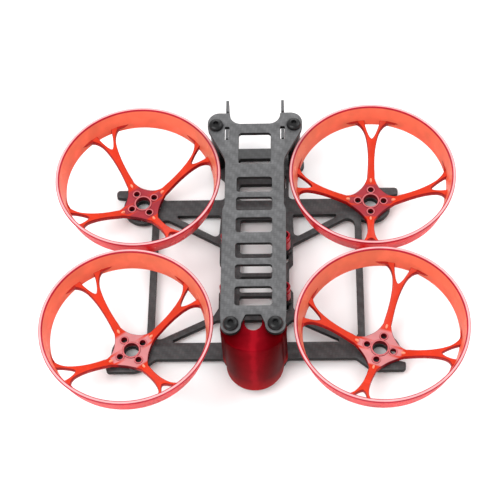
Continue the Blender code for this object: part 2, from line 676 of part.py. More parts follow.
# ---- camera plates ----------------------------------------------------------------------
def camera_plate(sign):
    """One upright plate beside the camera, drawn in (forward, up) and stood on edge."""
    foot = DECK_Z + SEAT_GAP
    head = ROOF_Z - SEAT_GAP
    lower_rear, lower_front = CAMERA_LOWER_TAB
    upper_rear, upper_front = CAMERA_UPPER_TAB
    prong_rear = TOP_FRONT_Y + 2.0 * SEAT_GAP
    outline = rounded([
        (CAMERA_REAR_Y, foot, 0.1 * MM),
        (lower_rear, foot, 0.0),
        (lower_rear, FLOOR_Z + SEAT_GAP, 0.2 * MM),
        (lower_front, FLOOR_Z + SEAT_GAP, 0.2 * MM),
        (lower_front, foot, 0.0),
        (CAMERA_FRONT_Y - 4.0 * MM, foot, 1.0 * MM),
        (CAMERA_FRONT_Y, foot + 6.0 * MM, 4.0 * MM),
        (CAMERA_FRONT_Y, ROOF_Z + PRONG_RISE, 1.0 * MM),
        (prong_rear, ROOF_Z + PRONG_RISE, 0.4 * MM),
        (prong_rear, head, 0.0),
        (upper_front, head, 0.0),
        (upper_front, TOP_Z - SEAT_GAP, 0.2 * MM),
        (upper_rear, TOP_Z - SEAT_GAP, 0.2 * MM),
        (upper_rear, head, 0.0),
        (CAMERA_REAR_Y + 2.6 * MM, head, 1.0 * MM),
        (CAMERA_REAR_Y, foot + 12.0 * MM, 3.0 * MM),
    ])
    pivot = (CAMERA_PIVOT[0], DECK_Z + CAMERA_PIVOT[1])
    slot_half = CAMERA_SLOT_WIDTH / 2.0
    tilt_slot = (arc(pivot, CAMERA_SLOT_RADIUS + slot_half, 145.0, 215.0, 6)
                 + arc(pivot, CAMERA_SLOT_RADIUS - slot_half, 215.0, 145.0, 6))
    lightening = rounded([
        (CAMERA_REAR_Y + 2.4 * MM, foot + 3.0 * MM, 1.2 * MM),
        (CAMERA_REAR_Y + 6.4 * MM, foot + 3.0 * MM, 1.2 * MM),
        (CAMERA_REAR_Y + 6.4 * MM, head - 4.0 * MM, 1.2 * MM),
        (CAMERA_REAR_Y + 3.6 * MM, head - 4.0 * MM, 1.2 * MM),
    ], steps=2)
    holes = [circle(pivot, 1.1 * MM, 12), tilt_slot, lightening]
    mesh = slab([outline] + holes, -CAMERA_PLATE_THICKNESS / 2.0, CAMERA_PLATE_THICKNESS / 2.0)
    stand = Matrix(((0.0, 0.0, 1.0, sign * CAMERA_PLATE_X),
                    (1.0, 0.0, 0.0, 0.0),
                    (0.0, 1.0, 0.0, 0.0),
                    (0.0, 0.0, 0.0, 1.0)))
    mesh.transform(stand)
    return mesh


# ---- fasteners ------------------------------------------------------------------------------
def button_screw(head_radius, head_height, shank_radius, length, steps=14):
    """A button-head screw, head up, with its seat at height 0."""
    crown = head_radius * 0.5
    dome = [(head_radius * math.cos(math.radians(angle)) * 0.5 + crown,
             head_height * (0.3 + 0.7 * math.sin(math.radians(angle)))) for angle in (75.0, 40.0, 5.0)]
    profile = [(0.0, head_height)] + dome
    profile += [(head_radius, 0.0), (shank_radius, 0.0), (shank_radius, -length), (0.0, -length)]
    body = turned(profile, steps)
    socket = prism(SOCKET_RADIUS, head_height - SOCKET_DEPTH, head_height + 1.0 * MM, 6)
    return combined(body, socket, "DIFFERENCE")


def tube(outer, inner, low, high, sides):
    """An upright tube on the Z axis."""
    return slab([circle((0.0, 0.0), outer, sides), circle((0.0, 0.0), inner, 12)], low, high)


def add_fasteners(assembly, black):
    """The frame screws from above and below, and the standoffs between the plates."""
    screw = button_screw(SCREW_HEAD_RADIUS, SCREW_HEAD_HEIGHT, SCREW_SHANK_RADIUS, SCREW_LENGTH)
    under = screw.copy()
    under.transform(Matrix.Rotation(math.pi, 4, "X"))
    standoff = tube(STANDOFF_RADIUS, SCREW_SHANK_RADIUS + SHANK_GAP,
                    DECK_Z + SEAT_GAP, ROOF_Z - SEAT_GAP, 16)
    for name, (x, y) in screw_places().items():
        assembly.add(f"top_screw_{name}", screw, black, (x, y, TOP_Z + SEAT_GAP))
        assembly.add(f"bottom_screw_{name}", under, black, (x, y, FLOOR_Z - SEAT_GAP))
        assembly.add(f"standoff_{name}", standoff, black, (x, y, 0.0))


def add_electronics_posts(assembly, red, black):
    """Four posts with their locknuts, held by screws from below."""
    nut_top = DECK_Z + SEAT_GAP + NUT_HEIGHT
    bore = POST_SCREW_SHANK_RADIUS + SHANK_GAP
    nut = slab([circle((0.0, 0.0), NUT_RADIUS, 6), circle((0.0, 0.0), bore, 12)],
               DECK_Z + SEAT_GAP, nut_top)
    post = tube(POST_RADIUS, bore, nut_top + SEAT_GAP, nut_top + SEAT_GAP + POST_HEIGHT, 16)
    reach = nut_top + SEAT_GAP + POST_HEIGHT / 2.0 - FLOOR_Z
    screw = button_screw(POST_SCREW_HEAD_RADIUS, POST_SCREW_HEAD_HEIGHT,
                         POST_SCREW_SHANK_RADIUS, reach, 12)
    screw.transform(Matrix.Rotation(math.pi, 4, "X"))
    for end, fore in ENDS.items():
        for side, hand in SIDES.items():
            place = (hand * POST_HALF_PITCH, fore * POST_HALF_PITCH)
            assembly.add(f"stack_nut_{end}_{side}", nut, black, (*place, 0.0))
            assembly.add(f"stack_post_{end}_{side}", post, red, (*place, 0.0))
            assembly.add(f"stack_screw_{end}_{side}", screw, black, (*place, FLOOR_Z - SEAT_GAP))


# ---- ducts --------------------------------------------------------------------------------
def spoke_side():
    """The left-hand side of a spoke from the hub to the crotch, the spoke lying along +X."""
    half = SPOKE_WIDTH / 2.0
    anchor = DUCT_RADIUS - DUCT_DRAFT - DUCT_WALL / 2.0
    end = (anchor * math.cos(FORK_HALF_ANGLE), anchor * math.sin(FORK_HALF_ANGLE))
    inner = (anchor * math.cos(CROTCH_HALF_ANGLE), anchor * math.sin(CROTCH_HALF_ANGLE))
    side = [(10.0 * MM, half)]
    side += bezier((FORK_START, half), (FORK_CROTCH + 1.6 * MM, half + 0.7 * MM), end, 5)
    side += [end, inner]
    side += bezier(inner, (FORK_CROTCH + 1.4 * MM, 1.4 * MM), (FORK_CROTCH, 0.0), 3)[1:]
    return side


def spider_outline():
    """The star-shaped hub with its forked spokes, as one outline."""
    half = SPOKE_WIDTH / 2.0
    tip = (HUB_TIP_RADIUS, half + 0.1 * MM)
    waist = 0.37 * HUB_TIP_RADIUS
    side = spoke_side()
    points = []
    for index in range(SPOKE_COUNT):
        quarter = [(x, -y) for x, y in side] + [(FORK_CROTCH, 0.0)] + list(reversed(side))
        quarter += bezier(tip, (waist, waist), (tip[1], tip[0]), 6) + [(tip[1], tip[0])]
        points += turned_about_origin(quarter, index * 2.0 * math.pi / SPOKE_COUNT)
    return points


def duct():
    """A duct on its own axis: rim, forked spokes and hub in one moulding."""
    wall_foot = LIP_Z - DUCT_WALL_HEIGHT
    shoulder = LIP_Z - DUCT_LIP_HEIGHT
    outer_foot = DUCT_RADIUS - DUCT_DRAFT
    lip_inner = DUCT_RADIUS - DUCT_LIP_WIDTH
    rim = turned([
        (DUCT_RADIUS, LIP_Z),
        (DUCT_RADIUS, shoulder),
        (DUCT_RADIUS - 0.35 * MM, shoulder - 0.35 * MM),
        (outer_foot, wall_foot),
        (outer_foot - DUCT_WALL, wall_foot),
        (lip_inner - 0.05 * MM, shoulder - 0.35 * MM),
        (lip_inner, LIP_Z),
    ], RIM_SEGMENTS)
    holes = [circle((0.0, 0.0), HUB_BORE_RADIUS, 16)]
    for index in range(SPOKE_COUNT):
        angle = index * 2.0 * math.pi / SPOKE_COUNT
        place = (MOTOR_HOLE_CIRCLE * math.cos(angle), MOTOR_HOLE_CIRCLE * math.sin(angle))
        holes.append(circle(place, MOTOR_HOLE_RADIUS, 10))
    spider = slab([spider_outline()] + holes, HUB_Z, HUB_Z + HUB_HEIGHT)
    anchor = DUCT_RADIUS - DUCT_DRAFT - DUCT_WALL / 2.0
    rise = wall_foot + SPOKE_SEAT - (HUB_Z + HUB_HEIGHT)
    for vertex in spider.vertices:
        reach = math.hypot(vertex.co.x, vertex.co.y) - HUB_FLAT_RADIUS
        if reach > 0.0:
            vertex.co.z += rise * reach / (anchor - HUB_FLAT_RADIUS)
    return combined(rim, spider, "UNION")


def add_ducts(assembly, material):
    """The four ducts, each turned a little differently on its seat."""
    mesh = duct()
    for name, (x, y) in motor_places().items():
        assembly.add(f"duct_{name}", mesh, material, (x, y, 0.0), DUCT_CLOCK[name])


# ---- tail guard -------------------------------------------------------------------------
def tail_outline(inset):
    """The guard's outline in plan, closed across the front, at an inset from its outside."""
    half = TAIL_HALF - inset
    centre_y = TAIL_END_Y + TAIL_HALF
    return ([(half, TAIL_FRONT_Y)]
            + arc((0.0, centre_y), half, 0.0, -180.0, 16)
            + [(-half, TAIL_FRONT_Y)])


def lean_forward(mesh, low, high):
    """Shear the guard's rear so that its top edge stands ahead of its foot."""
    pivot_y = TAIL_END_Y + TAIL_HALF
    for vertex in mesh.vertices:
        behind = min(max((pivot_y - vertex.co.y) / TAIL_HALF, 0.0), 1.0)
        up = (vertex.co.z - low) / (high - low)
        vertex.co.y += TAIL_LEAN * behind * up


def tail_guard():
    """A half-round shell below the top plate's rear, clamped by the rear standoffs."""
    low = DECK_Z + SEAT_GAP
    high = ROOF_Z - SEAT_GAP
    boss_radius = STANDOFF_RADIUS + SHANK_GAP + TAIL_BOSS_WALL
    shell = slab([tail_outline(0.0)], low, high)
    hollow = [(x, y + (1.0 * MM if y >= TAIL_FRONT_Y else 0.0)) for x, y in tail_outline(TAIL_WALL)]
    cavity = slab([hollow], low - 1.0 * MM, high - TAIL_ROOF)
    for mesh in (shell, cavity):
        lean_forward(mesh, low, high)
    guard = combined(shell, cavity, "DIFFERENCE")
    for sign in SIDES.values():
        centre = (sign * REAR_SCREW[0], REAR_SCREW[1])
        boss = slab([circle(centre, boss_radius, 20)], low + 0.1 * MM, high - TAIL_ROOF / 2.0)
        guard = combined(guard, boss, "UNION")
    for sign in SIDES.values():
        centre = (sign * REAR_SCREW[0], REAR_SCREW[1])
        bore = slab([circle(centre, STANDOFF_RADIUS + SHANK_GAP, 16)], low - 1.0 * MM, high + 1.0 * MM)
        guard = combined(guard, bore, "DIFFERENCE")
    scoop_outline = arc((0.0, TAIL_SCOOP_Y), TAIL_SCOOP_RADIUS, 180.0, 360.0, 12)
    scoop_outline += [(TAIL_SCOOP_RADIUS, TAIL_FRONT_Y + 1.0 * MM),
                      (-TAIL_SCOOP_RADIUS, TAIL_FRONT_Y + 1.0 * MM)]
    scoop = slab([scoop_outline], high - 2.0 * TAIL_ROOF, high + 1.0 * MM)
    return combined(guard, scoop, "DIFFERENCE")


# ---- the whole frame ------------------------------------------------------------------------
def main():
    """Build every part of the frame."""
    for item in list(bpy.data.objects):
        bpy.data.objects.remove(item)
    carbon = finish_material("carbon", (0.13, 0.13, 0.14), 0.45)
    black = finish_material("black_oxide", (0.02, 0.02, 0.022), 0.35, 0.8)
    red_metal = finish_material("red_anodised", (0.35, 0.02, 0.03), 0.3, 0.6)
    clear_red = finish_material("clear_red_plastic", (0.85, 0.06, 0.04), 0.15, 0.0, 0.75)
    tail_red = finish_material("dark_red_plastic", (0.22, 0.0, 0.01), 0.25, 0.0, 0.9)
    assembly = Assembly("ducted_drone_frame")
    assembly.add("top_plate", top_plate(), carbon)
    assembly.add("bottom_plate", bottom_plate(), carbon)
    for side, sign in SIDES.items():
        assembly.add(f"camera_plate_{side}", camera_plate(sign), carbon)
    add_ducts(assembly, clear_red)
    assembly.add("tail_guard", tail_guard(), tail_red)
    add_fasteners(assembly, black)
    add_electronics_posts(assembly, red_metal, black)


main()
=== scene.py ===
"""Looks of the bare frame of a small four-ducted racing drone.

Each sub-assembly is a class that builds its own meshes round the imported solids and
dresses them: the woven carbon plates, the clear red ducts, the deep red tail guard, the
blackened screws and standoffs, and the red posts that carry the electronics.  Sizes are
in millimetres until a mesh is finished, and every mesh is finished in metres.
"""
import logging
import math
from collections.abc import Callable, Iterable, Sequence
from dataclasses import dataclass, field
from enum import Enum

import bmesh
import bpy
from mathutils import Matrix, Vector


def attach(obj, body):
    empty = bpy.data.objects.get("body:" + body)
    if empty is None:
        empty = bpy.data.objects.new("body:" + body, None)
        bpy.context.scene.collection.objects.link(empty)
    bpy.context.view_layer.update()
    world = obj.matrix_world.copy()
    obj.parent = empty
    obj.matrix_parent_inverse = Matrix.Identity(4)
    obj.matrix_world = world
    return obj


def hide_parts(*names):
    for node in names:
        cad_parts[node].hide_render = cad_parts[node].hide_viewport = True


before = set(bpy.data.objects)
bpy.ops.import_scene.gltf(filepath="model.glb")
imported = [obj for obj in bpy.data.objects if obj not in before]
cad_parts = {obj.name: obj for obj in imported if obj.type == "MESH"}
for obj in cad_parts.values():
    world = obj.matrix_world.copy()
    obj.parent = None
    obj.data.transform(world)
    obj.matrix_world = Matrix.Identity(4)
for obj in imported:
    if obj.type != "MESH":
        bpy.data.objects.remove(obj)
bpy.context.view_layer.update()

log = logging.getLogger("ducted_frame")
MM = 0.001
Point = tuple[float, float]
Tint = tuple[float, float, float, float]
Outline = list[Point]


class Named(Enum):
    """A choice whose name goes into the names of the solids."""

    @property
    def word(self) -> str:
        """The name as the solids spell it."""
        return self.name.lower()


class Side(Named):
    """A side of the frame, and its sign along X."""

    LEFT = -1.0
    RIGHT = 1.0


class End(Named):
    """An end of the frame, and its sign along Y."""

    FRONT = 1.0
    REAR = -1.0


CORNERS: tuple[tuple[End, Side], ...] = tuple((end, side) for end in End for side in Side)


# ---- shader building ------------------------------------------------------------------
class Shader:
    """A small builder for one material's node tree."""

    def __init__(self, name: str) -> None:
        """Start an empty material.

        Args:
            name: The material's name.
        """
        self.material = bpy.data.materials.new(name)
        self.material.use_nodes = True
        self.tree = self.material.node_tree
        self.tree.nodes.clear()
        self.output = self.tree.nodes.new("ShaderNodeOutputMaterial")

    def node(self, kind: str, inputs: dict[str, object] | None = None,
             **settings: object) -> bpy.types.Node:
        """Add a node.

        Args:
            kind: The node's type without its ShaderNode prefix.
            inputs: Values or sockets for its inputs, by name or index.
            settings: The node's own properties.

        Returns:
            The new node.
        """
        made = self.tree.nodes.new("ShaderNode" + kind)
        for key, value in settings.items():
            setattr(made, key, value)
        for key, value in (inputs or {}).items():
            socket = made.inputs[key]
            if isinstance(value, bpy.types.NodeSocket):
                self.tree.links.new(value, socket)
            else:
                socket.default_value = value
        return made

    def math(self, operation: str, *values: object) -> bpy.types.NodeSocket:
        """Add a Math node.

        Args:
            operation: The operation's name.
            values: Its numbers or sockets.

        Returns:
            The result's socket.
        """
        return self.node("Math", dict(enumerate(values)), operation=operation).outputs[0]

    def mix(self, share: object, first: object, second: object) -> bpy.types.NodeSocket:
        """Mix two colours.

        Args:
            share: How much of the second colour shows, a number or a socket.
            first: The first colour.
            second: The second colour.

        Returns:
            The mixed colour's socket.
        """
        made = self.node("Mix", {0: share, 6: first, 7: second}, data_type="RGBA")
        return made.outputs[2]

    def noise(self, coordinates: bpy.types.NodeSocket, scale: float,
              detail: float = 2.0) -> bpy.types.NodeSocket:
        """Add a noise texture.

        Args:
            coordinates: Where it is read.
            scale: Its scale, in cells for each metre.
            detail: Its levels of detail.

        Returns:
            The noise value's socket, from 0 to 1.
        """
        made = self.node("TexNoise", {"Vector": coordinates, "Scale": scale, "Detail": detail})
        return made.outputs["Fac"]

    def place(self) -> bpy.types.NodeSocket:
        """Return the socket of the point on the object, in metres."""
        return self.node("TexCoord").outputs["Object"]

    def bump(self, height: bpy.types.NodeSocket, depth: float,
             strength: float = 1.0) -> bpy.types.NodeSocket:
        """Turn a height into a normal.

        Args:
            height: The height's socket, from 0 to 1.
            depth: The relief's depth in metres.
            strength: How strongly it shows.

        Returns:
            The normal's socket.
        """
        return self.node("Bump", {"Height": height, "Distance": depth,
                                  "Strength": strength}).outputs[0]

    def finish(self, surface: bpy.types.NodeSocket) -> bpy.types.Material:
        """Connect the surface.

        Args:
            surface: The shader's socket.

        Returns:
            The finished material.
        """
        self.tree.links.new(surface, self.output.inputs["Surface"])
        return self.material


def grey(value: float) -> tuple[float, float, float, float]:
    """Return a neutral colour of that linear value."""
    return (value, value, value * 1.03, 1.0)


@dataclass(frozen=True)
class WovenCarbon:
    """Carbon plate: a two-by-two twill under clear resin, with black machined edges.

    Attributes:
        name: The material's name.
        axes: The two coordinates that the cloth lies along.
        tow: Width of one tow in millimetres.
        light: Colour of the tows that run across.
        dark: Colour of the tows that run lengthwise.
        edge: Colour of the machined edges.
    """

    name: str = "woven_carbon"
    axes: tuple[str, str] = ("X", "Y")
    tow: float = 0.95
    light: float = 0.098
    dark: float = 0.082
    edge: float = 0.012

    def build(self) -> bpy.types.Material:
        """Make the material.

        Returns:
            The material.
        """
        s = Shader(self.name)
        place = s.place()
        split = s.node("SeparateXYZ", {0: place})
        u = s.math("DIVIDE", split.outputs[self.axes[0]], self.tow * MM)
        v = s.math("DIVIDE", split.outputs[self.axes[1]], self.tow * MM)
        step = s.math("ADD", s.math("FLOOR", u), s.math("FLOOR", v))
        over = s.math("LESS_THAN", s.math("FLOORED_MODULO", step, 4.0), 1.5)
        wave_u = s.math("ABSOLUTE", s.math("SINE", s.math("MULTIPLY", u, math.pi)))
        wave_v = s.math("ABSOLUTE", s.math("SINE", s.math("MULTIPLY", v, math.pi)))
        crown = s.node("Mix", {0: over, 2: wave_u, 3: wave_v}, data_type="FLOAT").outputs[0]
        fibre_u = s.math("SINE", s.math("MULTIPLY", u, 34.0))
        fibre_v = s.math("SINE", s.math("MULTIPLY", v, 34.0))
        fibre = s.node("Mix", {0: over, 2: fibre_u, 3: fibre_v}, data_type="FLOAT").outputs[0]
        blotch = s.noise(place, 330.0, 4.0)
        cloth = s.mix(over, grey(self.light), grey(self.dark))
        shade = s.math("ADD", s.math("MULTIPLY", crown, 0.16), 0.88)
        shade = s.math("ADD", shade, s.math("MULTIPLY", fibre, 0.03))
        shade = s.math("ADD", shade, s.math("MULTIPLY_ADD", blotch, 0.9, -0.45))
        cloth = s.node("VectorMath", {0: cloth, "Scale": shade}, operation="SCALE").outputs[0]
        axis = ({"X", "Y", "Z"} - set(self.axes)).pop()
        normal = s.node("SeparateXYZ", {0: s.node("NewGeometry").outputs["Normal"]})
        face = s.math("GREATER_THAN", s.math("ABSOLUTE", normal.outputs[axis]), 0.93)
        ply = s.math("SINE", s.math("MULTIPLY", split.outputs[axis], 2.0 * math.pi / (0.3 * MM)))
        edge = s.mix(s.math("MULTIPLY_ADD", ply, 0.5, 0.5), grey(self.edge * 0.5), grey(self.edge))
        colour = s.mix(face, edge, cloth)
        rough = s.math("MULTIPLY_ADD", blotch, 0.24, 0.30)
        rough = s.math("ADD", rough, s.math("MULTIPLY", s.math("SUBTRACT", 1.0, face), 0.2))
        relief = s.bump(s.math("ADD", crown, s.math("MULTIPLY", blotch, 0.6)), 0.03 * MM, 0.35)
        shader = s.node("BsdfPrincipled", {
            "Base Color": colour, "Roughness": rough, "Normal": relief,
            "Coat Weight": 0.08, "Coat Roughness": 0.25, "Specular IOR Level": 0.25})
        return s.finish(shader.outputs[0])


@dataclass(frozen=True)
class ClearPlastic:
    """Tinted clear plastic whose mesh carries its own tint.

    The mesh's "tint" attribute is deeper where the plastic is thick, and it also carries
    painted light: a painted highlight along the lip, painted shade on the outer wall and on
    the sides of the spokes, hub and rims, and painted glints on the spokes.  Its alpha is how
    much of what stands behind shows.

    Attributes:
        name: The material's name.
        glow: How much light passes through.
        roughness: Roughness of the moulded face.
        shine: Specular level.
    """

    name: str
    glow: float = 0.4
    roughness: float = 0.2
    shine: float = 0.16

    def build(self) -> bpy.types.Material:
        """Make the material.

        Returns:
            The material.
        """
        s = Shader(self.name)
        place = s.place()
        tint = s.node("Attribute", attribute_name="tint")
        clouds = s.noise(place, 190.0, 2.0)
        shade = s.math("MULTIPLY_ADD", clouds, 0.36, 0.82)
        colour = s.node("VectorMath", {0: tint.outputs["Color"], "Scale": shade},
                        operation="SCALE").outputs[0]
        orange_peel = s.bump(s.noise(place, 900.0, 1.0), 0.02 * MM, 0.3)
        rough = s.math("MULTIPLY_ADD", clouds, 0.12, self.roughness)
        body = s.node("BsdfPrincipled", {
            "Base Color": colour, "Roughness": rough, "Normal": orange_peel, "IOR": 1.49,
            "Specular IOR Level": self.shine})
        through = s.node("BsdfTranslucent", {"Color": colour, "Normal": orange_peel})
        lit = s.node("MixShader", {0: self.glow, 1: body.outputs[0], 2: through.outputs[0]})
        clear = s.node("BsdfTransparent", {"Color": colour})
        whole = s.node("MixShader", {0: tint.outputs["Alpha"], 1: lit.outputs[0],
                                     2: clear.outputs[0]})
        return s.finish(whole.outputs[0])


@dataclass(frozen=True)
class DeepPlastic:
    """Deep red plastic: a painted highlight along its middle, painted shade at its sides,
    and brighter along its lower edge.

    Attributes:
        name: The material's name.
        side: Colour at the sides, painted shade.
        middle: Colour along the middle, a painted highlight.
        foot: Colour of the lower edge.
        half: Half the piece's width in millimetres.
        low: Height of its lower edge in millimetres.
        glow: How much light passes through.
    """

    name: str = "deep_red"
    side: tuple[float, float, float] = (0.085, 0.0006, 0.002)
    middle: tuple[float, float, float] = (0.34, 0.006, 0.014)
    foot: tuple[float, float, float] = (0.42, 0.003, 0.006)
    half: float = 9.6
    low: float = 4.0
    glow: float = 0.18

    def build(self) -> bpy.types.Material:
        """Make the material.

        Returns:
            The material.
        """
        s = Shader(self.name)
        place = s.place()
        split = s.node("SeparateXYZ", {0: place})
        clouds = s.noise(place, 230.0, 3.0)
        wide = s.math("DIVIDE", s.math("ABSOLUTE", split.outputs["X"]), self.half * MM)
        wide = s.math("MULTIPLY_ADD", s.math("SUBTRACT", clouds, 0.5), 0.35, wide)
        # The bright middle band is a painted highlight, and the dark sides are painted shade.
        middle = s.node("MapRange", {0: wide, 1: 0.75, 2: 0.0, 3: 0.0, 4: 1.0},
                        interpolation_type="SMOOTHSTEP").outputs[0]
        painted_highlight_spine = s.node("MapRange", {0: wide, 1: 0.2, 2: 0.0, 3: 0.0, 4: 0.5},
                       interpolation_type="SMOOTHSTEP").outputs[0]
        foot = s.node("MapRange", {0: split.outputs["Z"], 1: (self.low + 6.0) * MM,
                                   2: self.low * MM, 3: 0.0, 4: 0.8}).outputs[0]
        share = s.node("Clamp", {0: s.math("ADD", s.math("MULTIPLY", middle, 0.6), painted_highlight_spine)})
        colour = s.mix(share.outputs[0], (*self.side, 1.0), (*self.middle, 1.0))
        colour = s.mix(foot, colour, (*self.foot, 1.0))
        relief = s.bump(clouds, 0.05 * MM, 0.3)
        body = s.node("BsdfPrincipled", {
            "Base Color": colour, "Roughness": 0.3, "Normal": relief, "Metallic": 0.3,
            "Specular IOR Level": 0.0})
        through = s.node("BsdfTranslucent", {"Color": colour})
        lit = s.node("MixShader", {0: self.glow, 1: body.outputs[0], 2: through.outputs[0]})
        return s.finish(lit.outputs[0])


@dataclass(frozen=True)
class TurnedMetal:
    """Blackened or anodised metal with fine marks from turning.

    Attributes:
        name: The material's name.
        colour: Its colour.
        metallic: Share of metal in the finish.
        roughness: Its roughness.
        shine: Specular level.
        pitch: Distance between turning marks in millimetres.
        relief: Depth of the marks in millimetres.
    """

    name: str
    colour: tuple[float, float, float]
    metallic: float
    roughness: float
    shine: float = 0.5
    pitch: float = 0.16
    relief: float = 0.008

    def build(self) -> bpy.types.Material:
        """Make the material.

        Returns:
            The material.
        """
        s = Shader(self.name)
        place = s.place()
        height = s.node("SeparateXYZ", {0: place}).outputs["Z"]
        marks = s.math("SINE", s.math("MULTIPLY", height, 2.0 * math.pi / (self.pitch * MM)))
        grain = s.noise(place, 1400.0, 3.0)
        wear = s.noise(place, 260.0, 3.0)
        colour = s.mix(wear, (*[c * 0.75 for c in self.colour], 1.0),
                       (*[min(1.0, c * 1.3) for c in self.colour], 1.0))
        rough = s.math("MULTIPLY_ADD", grain, 0.2, self.roughness - 0.1)
        relief = s.bump(s.math("MULTIPLY_ADD", marks, 0.5, grain), self.relief * MM, 0.5)
        shader = s.node("BsdfPrincipled", {
            "Base Color": colour, "Roughness": rough, "Metallic": self.metallic,
            "Normal": relief, "Specular IOR Level": self.shine})
        return s.finish(shader.outputs[0])


@dataclass(frozen=True)
class PaleFloor:
    """The plain floor's finish.

    Attributes:
        name: The material's name.
        colour: Its colour.
    """

    name: str = "pale_floor"
    colour: tuple[float, float, float] = (0.92, 0.92, 0.92)

    def build(self) -> bpy.types.Material:
        """Make the material.

        Returns:
            The material.
        """
        s = Shader(self.name)
        mottle = s.noise(s.place(), 12.0, 2.0)
        colour = s.mix(mottle, (*self.colour, 1.0), (*[c * 0.99 for c in self.colour], 1.0))
        shader = s.node("BsdfPrincipled", {"Base Color": colour, "Roughness": 0.9,
                                           "Specular IOR Level": 0.1})
        return s.finish(shader.outputs[0])


# ---- outlines in millimetres ------------------------------------------------------------
def arc(centre: Point, radius: float, start: float, end: float, steps: int) -> Outline:
    """Return points on an arc.

    Args:
        centre: The arc's centre.
        radius: Its radius.
        start: Its first angle in degrees.
        end: Its last angle in degrees.
        steps: How many chords it has.

    Returns:
        The points, both ends included.
    """
    points = []
    for step in range(steps + 1):
        angle = math.radians(start + (end - start) * step / steps)
        points.append((centre[0] + radius * math.cos(angle), centre[1] + radius * math.sin(angle)))
    return points


def circle(centre: Point, radius: float, steps: int) -> Outline:
    """Return a closed ring of points about a centre."""
    return arc(centre, radius, 0.0, 360.0, steps)[:-1]


def cubic(a: Point, b: Point, c: Point, d: Point, steps: int) -> Outline:
    """Return points on a cubic curve, both ends included.

    Args:
        a: The curve's start.
        b: Its first control point.
        c: Its second control point.
        d: Its end.
        steps: How many chords it has.

    Returns:
        The points.
    """
    points = []
    for step in range(steps + 1):
        t = step / steps
        weights = ((1 - t) ** 3, 3 * t * (1 - t) ** 2, 3 * t * t * (1 - t), t ** 3)
        points.append(tuple(sum(w * p[axis] for w, p in zip(weights, (a, b, c, d)))
                            for axis in (0, 1)))
    return points


def rounded(corners: Sequence[tuple[float, float, float]], steps: int = 8) -> Outline:
    """Round an outline's corners.

    Args:
        corners: Each corner's x, y and fillet radius; a radius of 0 stays sharp.
        steps: How many chords each fillet has.

    Returns:
        The outline.
    """
    points: Outline = []
    for index, (x, y, radius) in enumerate(corners):
        if radius <= 0.0:
            points.append((x, y))
            continue
        tip = Vector((x, y))
        back = Vector(corners[index - 1][:2]) - tip
        ahead = Vector(corners[(index + 1) % len(corners)][:2]) - tip
        half = back.angle(ahead) / 2.0
        reach = min(radius / math.tan(half), 0.45 * min(back.length, ahead.length))
        start = tip + back.normalized() * reach
        middle = (back.normalized() + ahead.normalized()).normalized()
        centre = tip + middle * (reach / math.cos(half))
        first = start - centre
        sweep = first.angle_signed(tip + ahead.normalized() * reach - centre)
        for step in range(steps + 1):
            turned = first.copy()
            turned.rotate(Matrix.Rotation(-sweep * step / steps, 2))
            points.append(tuple(centre + turned))
    return points


def window(front: float, rear: float, half: float, corner: float = 1.0) -> Outline:
    """Return a rounded rectangle centred on the middle plane."""
    return rounded([(-half, rear, corner), (half, rear, corner),
                    (half, front, corner), (-half, front, corner)], 6)


def obround(start: Point, end: Point, width: float, steps: int = 8) -> Outline:
    """Return a slot with round ends between two centres.

    Args:
        start: Centre of one end.
        end: Centre of the other end.
        width: The slot's width.
        steps: How many chords each end has.

    Returns:
        The slot's outline.
    """
    run = Vector(end) - Vector(start)
    heading = math.degrees(math.atan2(run.y, run.x))
    return (arc(end, width / 2.0, heading - 90.0, heading + 90.0, steps)
            + arc(start, width / 2.0, heading + 90.0, heading + 270.0, steps))


def mirrored(points: Outline) -> Outline:
    """Return the outline on the other side of the middle plane."""
    return [(-x, y) for x, y in reversed(points)]


def turned(points: Outline, angle: float) -> Outline:
    """Return the outline turned about the origin by an angle in radians."""
    cosine, sine = math.cos(angle), math.sin(angle)
    return [(x * cosine - y * sine, x * sine + y * cosine) for x, y in points]


def moved(points: Outline, shift: Point) -> Outline:
    """Return the outline moved by a shift."""
    return [(x + shift[0], y + shift[1]) for x, y in points]


# ---- meshes in millimetres ----------------------------------------------------------------
def flat_piece(outlines: Iterable[Outline], low: float, high: float,
               edge: float = 0.12) -> bmesh.types.BMesh:
    """Fill the area between closed outlines and give it a thickness and soft edges.

    Args:
        outlines: The outer outline and those of its holes.
        low: Height of the lower face.
        high: Height of the upper face.
        edge: Radius of the edges.

    Returns:
        The mesh.
    """
    curve = bpy.data.curves.new("outline", "CURVE")
    curve.dimensions, curve.fill_mode = "2D", "BOTH"
    curve.extrude = (high - low) / 2.0 - edge
    curve.bevel_depth, curve.bevel_resolution, curve.offset = edge, 1, -edge
    for points in outlines:
        spline = curve.splines.new("POLY")
        spline.points.add(len(points) - 1)
        for point, (x, y) in zip(spline.points, points):
            point.co = (x, y, 0.0, 1.0)
        spline.use_cyclic_u = True
    guide = bpy.data.objects.new("outline", curve)
    bpy.context.scene.collection.objects.link(guide)
    shaped = bpy.data.meshes.new_from_object(
        guide.evaluated_get(bpy.context.evaluated_depsgraph_get()))
    bpy.data.objects.remove(guide)
    bpy.data.curves.remove(curve)
    mesh = bmesh.new()
    mesh.from_mesh(shaped)
    bpy.data.meshes.remove(shaped)
    bmesh.ops.remove_doubles(mesh, verts=mesh.verts, dist=0.002)
    bmesh.ops.translate(mesh, verts=mesh.verts, vec=(0.0, 0.0, (low + high) / 2.0))
    bmesh.ops.recalc_face_normals(mesh, faces=mesh.faces)
    return mesh


